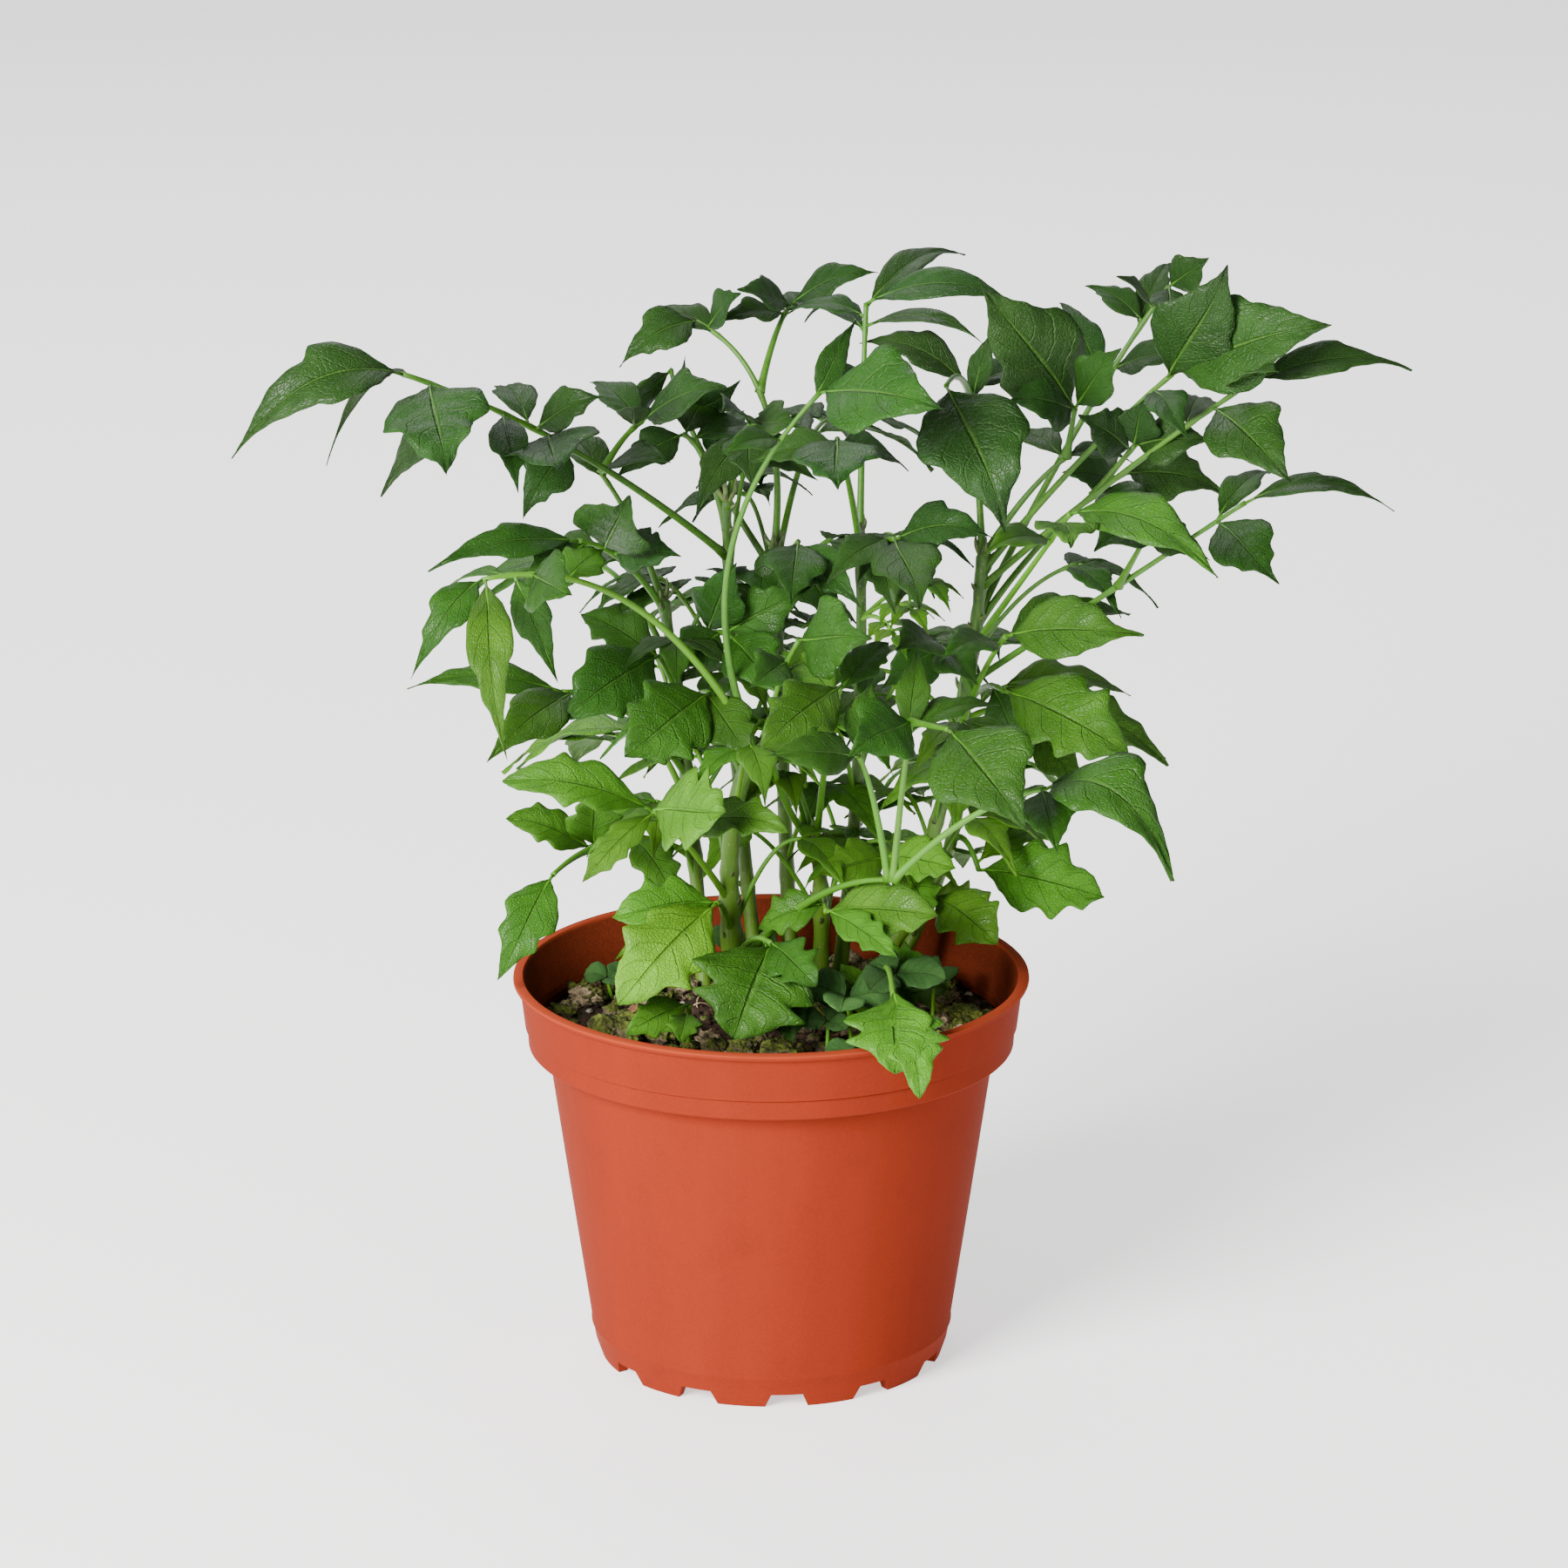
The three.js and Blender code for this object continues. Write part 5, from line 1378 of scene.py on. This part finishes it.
def leaflet(bend, up, width, toothing, tint, foliage, rng, outline=None):
    """One leaflet along its bend: toothed, folded at its midrib, quilted between its side veins."""
    part = bmesh.new()
    part.loops.layers.uv.new("leaflet")
    tints = part.verts.layers.float_color.new("tint")
    unders = part.verts.layers.float.new("under")
    rows = LEAFLET_ROWS if bend.length() > LONG_LEAFLET else LEAFLET_ROWS // 2
    bmesh.ops.create_grid(part, x_segments=rows, y_segments=LEAFLET_COLUMNS, size=0.5,
                          calc_uvs=True)
    bmesh.ops.solidify(part, geom=part.faces[:], thickness=foliage.thickness)

    sides = (teeth_of(rng, toothing), teeth_of(rng, toothing))
    lobed = smooth_step(*LOBED_RANGE, toothing)
    fold = foliage.fold * rng.uniform(0.6, 1.5)
    ruffle = rng.uniform(0.03, 0.1)
    ruffle_turns = rng.uniform(1.6, 2.8)
    ruffle_start = rng.uniform(0, 1)
    twist = rng.uniform(-0.22, 0.22)
    curl = rng.uniform(0.0, 0.1)
    sway = rng.uniform(-0.05, 0.05)
    length = bend.length()
    half = width / 2
    level = up.cross(bend.end - bend.start)
    for vert in part.verts:
        # Where the vertex is: along the midrib, out from it, and above or below the sheet.
        along = vert.co.x + 0.5
        out = vert.co.y * 2
        depth = vert.co.z
        reach = abs(out)
        # The outline, with the teeth cut out of it.
        cut = cut_back(along, sides[out > 0]) * smooth_step(0.15, 1.0, reach)
        shape = between(outline or OUTLINE, along)
        shape += lobed * (between(LOBED_OUTLINE, along) - shape)
        breadth = half * shape * (1 - cut)
        sideways = out * breadth + sway * length * math.sin(math.pi * along) * along
        # The rise of the surface: its fold, its quilting, its ruffled edge and its curled tip.
        phase = SIDE_VEINS * along - VEIN_SWEEP * reach ** VEIN_CURVE
        swell = 0.5 - 0.5 * math.cos(math.tau * phase)
        lift = fold * breadth * (reach ** 1.15 - 0.45 * reach ** 3)
        lift += foliage.quilting * half * swell * math.sin(math.pi * reach)
        wave = math.sin(math.tau * (ruffle_turns * along + ruffle_start) + (0 if out > 0 else 2))
        lift += ruffle * half * wave * reach ** 2 * smooth_step(0, 0.2, along)
        lift -= curl * length * max(along - 0.55, 0) ** 2
        lift += depth * (TIP_THINNESS + (1 - TIP_THINNESS) * shape)
        # The place on the bend; the edge runs a little ahead of the midrib.
        lean = 0.035 * reach ** 3 * math.sin(math.pi * along)
        share = LEAFLET_STALK + (1 - LEAFLET_STALK) * min(along + lean, 1)
        ahead = bend.ahead(share)
        side = (level - ahead * level.dot(ahead)).normalized()
        normal = ahead.cross(side)
        turn = Matrix.Rotation(twist * (along - 0.2), 3, ahead)
        vert.co = bend.at(share) + turn @ (side * sideways + normal * lift)
        shade = 1 + 0.12 * (along - 0.5) - 0.06 * reach
        vert[tints] = (*(tint * shade), 1)
        vert[unders] = 1 if depth < 0 else 0
    return part


def paired_leaflets(bend, pairs, length):
    """Opposite leaflets and one at the end, for a stalk whose leaflets aren't listed."""
    listed = []

    def aim(where, swing, droop):
        ahead = bend.ahead(where)
        heading = Vector((ahead.x, ahead.y, 0)).normalized()
        heading.rotate(Matrix.Rotation(swing, 3, "Z"))
        tip = bend.at(where) + heading * (length * math.cos(droop))
        tip.z -= length * math.sin(droop)
        listed.append((where, tip, length * PAIR_SLIMNESS, 0, BOW))

    aim(1, 0, END_DROOP)
    for pair in range(pairs):
        where = 0.9 - 0.4 * pair / pairs
        aim(where, PAIR_SWING, PAIR_DROOP)
        aim(where, -PAIR_SWING, PAIR_DROOP)
    return listed


def listed_leaflets(blades):
    """The leaflets of a table's blades, in metres and radians."""
    for where, x, y, z, width, face, *bow in blades:
        yield where, spot((x, y, z)), width * MM, math.radians(face), (bow or [BOW])[0]


def grow_spray(piece, spray, start, thick, name, foliage, rng):
    """A stalk from start with its leaflets, and the side stalks that grow from it."""
    end = spot(spray["end"])
    middle = start.lerp(end, 0.5) + Vector((0, 0, spray["arch"] * MM))
    if "via" in spray:
        middle = spot(spray["via"])
    bend = Bend(start, middle, end)
    span = bend.length()
    if "pairs" in spray:
        leaflets = paired_leaflets(bend, spray["pairs"], spray["length"] * MM)
    else:
        leaflets = list(listed_leaflets(spray["blades"]))
    branches = spray.get("sprays", [])
    joints = [row[0] for row in leaflets] + [branch["from"] for branch in branches]

    def radius_at(share):
        base = thick + (STALK_TIP_RADIUS - thick) * max(share, 0)
        knuckle = max(swelling(share, joint, 1.7 * MM / span) for joint in joints)
        foot = 0.5 * math.exp(-max(share, 0) * span / (2.2 * MM))
        return base * MM * STALK_FINENESS * (1 + 0.3 * knuckle + foot)

    height = (start.z + end.z) / 2 / MM
    age = AGES.get(name, smooth_step(*AGEING_HEIGHTS, height) * OLDEST_BY_HEIGHT)
    skin = rod(bend, (0, 1), radius_at, 10, 26)
    tint_all(skin, leaf_tint(foliage, age * STALK_YOUTH, rng))
    piece.take(skin, STALK_SLOT)

    for where, tip, width, face, bow in leaflets:
        joint = bend.at(where)
        chord = tip - joint
        up = Vector((0, -math.sin(face), math.cos(face)))
        across = Bend(joint, joint.lerp(tip, 0.5) + up * (bow * chord.length), tip)
        tint = leaf_tint(foliage, age, rng)
        toothing = TOOTHING.get(name, USUAL_TOOTHING) * rng.uniform(0.8, 1.1)
        breadth = width * (FULLNESS + LOBED_EXTRA * toothing) * BREADTH.get(name, 1)
        piece.take(leaflet(across, up, breadth, toothing, tint, foliage, rng))
        rib = rib_of(across, up, foliage)
        tint_all(rib, tint * RIB_BRIGHTNESS)
        piece.take(rib, STALK_SLOT)
    for branch in branches:
        grow_spray(piece, branch, bend.at(branch["from"]), STALK_RADIUS, name, foliage, rng)


def rib_of(bend, up, foliage):
    """The short stalk of a leaflet and the midrib that stands out under it."""

    def radius_at(share):
        return (0.55 - 0.38 * smooth_step(0, 0.3, share) - 0.09 * share) * MM

    part = rod(bend, (-0.01, 0.9), radius_at, 6, 16)
    for vert in part.verts:
        vert.co -= up * (foliage.thickness * 0.5)
    return part


def tint_all(part, tint):
    """Gives a whole part one colour."""
    tints = part.verts.layers.float_color.new("tint")
    for vert in part.verts:
        vert[tints] = (*tint, 1)


def leaf_materials():
    return [paint("leaf", leaf_skin), paint("leaf stalk", stalk_skin)]


class PLANT_OT_leaves(bpy.types.Operator):
    """Grow the compound leaves: each a branching stalk with toothed, veined leaflets"""

    bl_idname = "plant.leaves"
    bl_label = "Compound Leaves"

    def execute(self, context):
        foliage = context.scene.plant_foliage
        stems = {stem["name"]: stem_bend(stem) for stem in STEMS}
        for leaf in LEAVES:
            rng = random.Random(leaf["name"])
            piece = Piece(leaf["name"] + "_fine")
            start = stems[leaf["stem"]].at(leaf["from"])
            thick = leaf.get("radius", STALK_RADIUS)
            grow_spray(piece, leaf, start, thick, leaf["name"], foliage, rng)
            piece.finish(leaf_materials(), "foliage", leaf["name"])
        return {"FINISHED"}


class PLANT_OT_inner_leaves(bpy.types.Operator):
    """Fill the crown between the stems with smaller leaves on thin, steep stalks"""

    bl_idname = "plant.inner_leaves"
    bl_label = "Inner Leaves"

    def execute(self, context):
        foliage = context.scene.plant_foliage
        for row, stem in enumerate(STEMS):
            name = stem["name"].replace("stem", "inner_leaves")
            rng = random.Random(name)
            piece = Piece(name)
            bend = stem_bend(stem)
            for number in range(foliage.inner_leaves):
                place = 0.14 + 0.76 * (number + rng.random() * 0.7) / foliage.inner_leaves
                start = bend.at(place)
                angle = row * 0.9 + number * 2.4 + rng.uniform(-0.3, 0.3)
                reach = rng.uniform(14, 34)
                rise = rng.uniform(24, 50) * (1 - 0.35 * place)
                end = [start.x / MM + reach * math.cos(angle),
                       start.y / MM + reach * math.sin(angle),
                       min(start.z / MM + rise, CROWN_TOP)]
                spray = stalk(place, end, arch=rng.uniform(4, 10), pairs=rng.choice((1, 1, 2)),
                              length=rng.uniform(20, 30))
                grow_spray(piece, spray, start, INNER_STALK_RADIUS, name, foliage, rng)
            piece.finish(leaf_materials(), "foliage")
        return {"FINISHED"}


# Little round-leaved sprouts on the soil: place, height above the soil, leaf size.
SPROUTS = [
    [[37, -25], 25, 14], [[47, -17], 20, 13], [[24, -31], 20, 15], [[16, -39], 14, 9],
    [[24, -48], 7, 9], [[39, -43], 5, 7], [[5, -55], 4, 8],
    [[-8, 52], 9, 11], [[-47, 24], 7, 9], [[51, 16], 8, 10],
]
SPROUT_AGE = 0.1
SPROUT_GREEN = Vector((0.055, 0.15, 0.036))
SPROUT_FACING = Vector((0, -0.62, 0.78))


class PLANT_OT_sprouts(bpy.types.Operator):
    """Dot the soil with little round-leaved sprouts, and add the curled shoot in the crown"""

    bl_idname = "plant.sprouts"
    bl_label = "Sprouts"

    def execute(self, context):
        foliage = context.scene.plant_foliage
        rng = random.Random("sprouts")
        piece = Piece("sprouts")
        for (x, y), tall, size in SPROUTS:
            foot = spot((x, y)) - Vector((0, 0, 2 * MM))
            top = spot((x + rng.uniform(-2, 2), y + rng.uniform(-2, 2), SOIL_TOP + tall))
            stem = rod(Bend(foot, (foot + top) / 2, top), (0, 1),
                       lambda share: SPROUT_STALK_RADIUS * MM, 8, 6)
            tint_all(stem, leaf_tint(foliage, SPROUT_AGE, rng))
            piece.take(stem, STALK_SLOT)
            turn = rng.uniform(0, math.tau)
            for number in range(rng.choice((2, 2, 3))):
                angle = turn + number * 1.9
                heading = Vector((math.cos(angle), math.sin(angle), rng.uniform(-0.1, 0.35)))
                tip = top + heading * (size * rng.uniform(0.75, 1.1) * MM)
                middle = (top + tip) / 2 + Vector((0, 0, 1.2 * MM))
                tint = SPROUT_GREEN * rng.uniform(0.7, 1.5)
                piece.take(leaflet(Bend(top, middle, tip), SPROUT_FACING, size * 0.85 * MM,
                                   0.0, tint, foliage, rng, ROUND_OUTLINE))
        piece.finish(leaf_materials(), "foliage")

        shoot = Piece("young_shoot")
        stem = next(stem for stem in STEMS if stem["name"] == "stem_tall")
        start = stem_bend(stem).at(0.8)
        for number in range(3):
            end = [36 + 5 * number, 14 - 4 * number, 216 + 9 * number]
            spray = stalk(0.8, end, arch=3, pairs=2, length=11 + number)
            grow_spray(shoot, spray, start, SHOOT_STALK_RADIUS, "leaf_young_shoot", foliage, rng)
        shoot.finish(leaf_materials(), "foliage")
        return {"FINISHED"}


class PLANT_OT_seedlings(bpy.types.Operator):
    """Grow the two small seedlings at the front of the pot"""

    bl_idname = "plant.seedlings"
    bl_label = "Seedlings"

    def execute(self, context):
        foliage = context.scene.plant_foliage
        for seedling in SEEDLINGS:
            rng = random.Random(seedling["name"])
            piece = Piece(seedling["name"] + "_fine")
            start = spot(seedling["foot"]) - Vector((0, 0, SEEDLING_DEPTH * MM))
            grow_spray(piece, seedling, start, STALK_RADIUS, seedling["name"], foliage, rng)
            piece.finish(leaf_materials(), "foliage", seedling["name"])
        return {"FINISHED"}


# ---------------------------------------------------------------- floor, lights and camera

CAMERA_PLACE = Vector((0, -1.8794, 0.744))
CAMERA_PITCH = math.radians(16.85)
CAMERA_YAW = math.radians(-0.115)
CAMERA_LENS = 154.4
CAMERA_SENSOR = 36
FLOOR_HALF = 6
SKY_STRENGTH = 0.47


def floor_paint(name, colour):
    """Plain, pale and slightly glowing, as a lit studio floor."""
    recipe = Recipe(name)
    cloud = recipe.grain(3, 2)
    base = recipe.mix(recipe.mask(cloud, 0.3, 0.7), opaque(colour, 0.995), opaque(colour, 1.0))
    return recipe.finish(Base_Color=base, Roughness=0.7, Specular_IOR_Level=0.2,
                         Emission_Color=(1, 1, 1, 1), Emission_Strength=0.95)


def area_lamp(name, place, target, size, power, colour):
    """A soft rectangular lamp that faces its target."""
    data = bpy.data.lights.new(name, "AREA")
    data.shape = "RECTANGLE"
    data.size, data.size_y = size
    data.energy = power
    data.color = colour
    lamp = bpy.data.objects.new(name, data)
    lamp.location = place
    lamp.rotation_euler = (Vector(target) - Vector(place)).to_track_quat("-Z", "Y").to_euler()
    bpy.context.scene.collection.objects.link(lamp)


class PLANT_OT_studio(bpy.types.Operator):
    """Lay the pale floor, hang the soft lights and place the camera"""

    bl_idname = "plant.studio"
    bl_label = "Studio"

    def execute(self, context):
        studio = context.scene.plant_studio
        ground = bmesh.new()
        bmesh.ops.create_grid(ground, x_segments=1, y_segments=1, size=FLOOR_HALF)
        ground_data = bpy.data.meshes.new("floor")
        ground.to_mesh(ground_data)
        ground.free()
        ground_data.materials.append(paint("pale floor", floor_paint, studio.floor_colour))
        floor = bpy.data.objects.new("floor", ground_data)
        context.scene.collection.objects.link(floor)

        area_lamp("key", (-1.15, -1.5, 1.05), (0, 0, 0.15), (1.0, 1.0), studio.key_power,
                  (1, 0.985, 0.96))
        area_lamp("back", (-0.3, 1.6, 1.4), (0, 0, 0.2), (1.6, 0.8), studio.back_power, (1, 1, 1))

        world = bpy.data.worlds.new("studio")
        world.use_nodes = True
        sky = world.node_tree.nodes["Background"]
        sky.inputs["Color"].default_value = (1, 1, 1, 1)
        sky.inputs["Strength"].default_value = SKY_STRENGTH
        context.scene.world = world

        lens = bpy.data.cameras.new("camera")
        lens.lens = CAMERA_LENS
        lens.sensor_width = CAMERA_SENSOR
        camera = bpy.data.objects.new("camera", lens)
        camera.location = CAMERA_PLACE
        camera.rotation_euler = (math.pi / 2 - CAMERA_PITCH, 0, CAMERA_YAW)
        context.scene.collection.objects.link(camera)
        context.scene.camera = camera
        return {"FINISHED"}


# ---------------------------------------------------------------- panel and registration


class PLANT_PT_panel(bpy.types.Panel):
    """Settings and steps of the potted plant"""

    bl_label = "China Doll Plant"
    bl_idname = "PLANT_PT_panel"
    bl_space_type = "VIEW_3D"
    bl_region_type = "UI"
    bl_category = "China Doll"

    def draw(self, context):
        for settings in SETTINGS:
            box = self.layout.box()
            group = getattr(context.scene, settings)
            for name in group.__annotations__:
                box.prop(group, name)
        for step in STEPS:
            self.layout.operator(step.bl_idname)


STEPS = (
    PLANT_OT_studio,
    PLANT_OT_pot,
    PLANT_OT_soil,
    PLANT_OT_stones,
    PLANT_OT_gravel,
    PLANT_OT_stems,
    PLANT_OT_leaves,
    PLANT_OT_inner_leaves,
    PLANT_OT_seedlings,
    PLANT_OT_sprouts,
)
SETTINGS = {
    "plant_pot": PotSettings,
    "plant_soil": SoilSettings,
    "plant_foliage": FoliageSettings,
    "plant_studio": StudioSettings,
}


def register():
    for made in (*SETTINGS.values(), *STEPS, PLANT_PT_panel):
        bpy.utils.register_class(made)
    for name, group in SETTINGS.items():
        setattr(bpy.types.Scene, name, PointerProperty(type=group))


def unregister():
    for name in SETTINGS:
        delattr(bpy.types.Scene, name)
    for made in reversed((*SETTINGS.values(), *STEPS, PLANT_PT_panel)):
        bpy.utils.unregister_class(made)


def main():
    register()
    bpy.ops.plant.studio()
    bpy.ops.plant.pot()
    bpy.ops.plant.soil()
    bpy.ops.plant.stones()
    bpy.ops.plant.gravel()
    bpy.ops.plant.stems()
    bpy.ops.plant.leaves()
    bpy.ops.plant.inner_leaves()
    bpy.ops.plant.seedlings()
    bpy.ops.plant.sprouts()


if __name__ == "__main__":
    main()
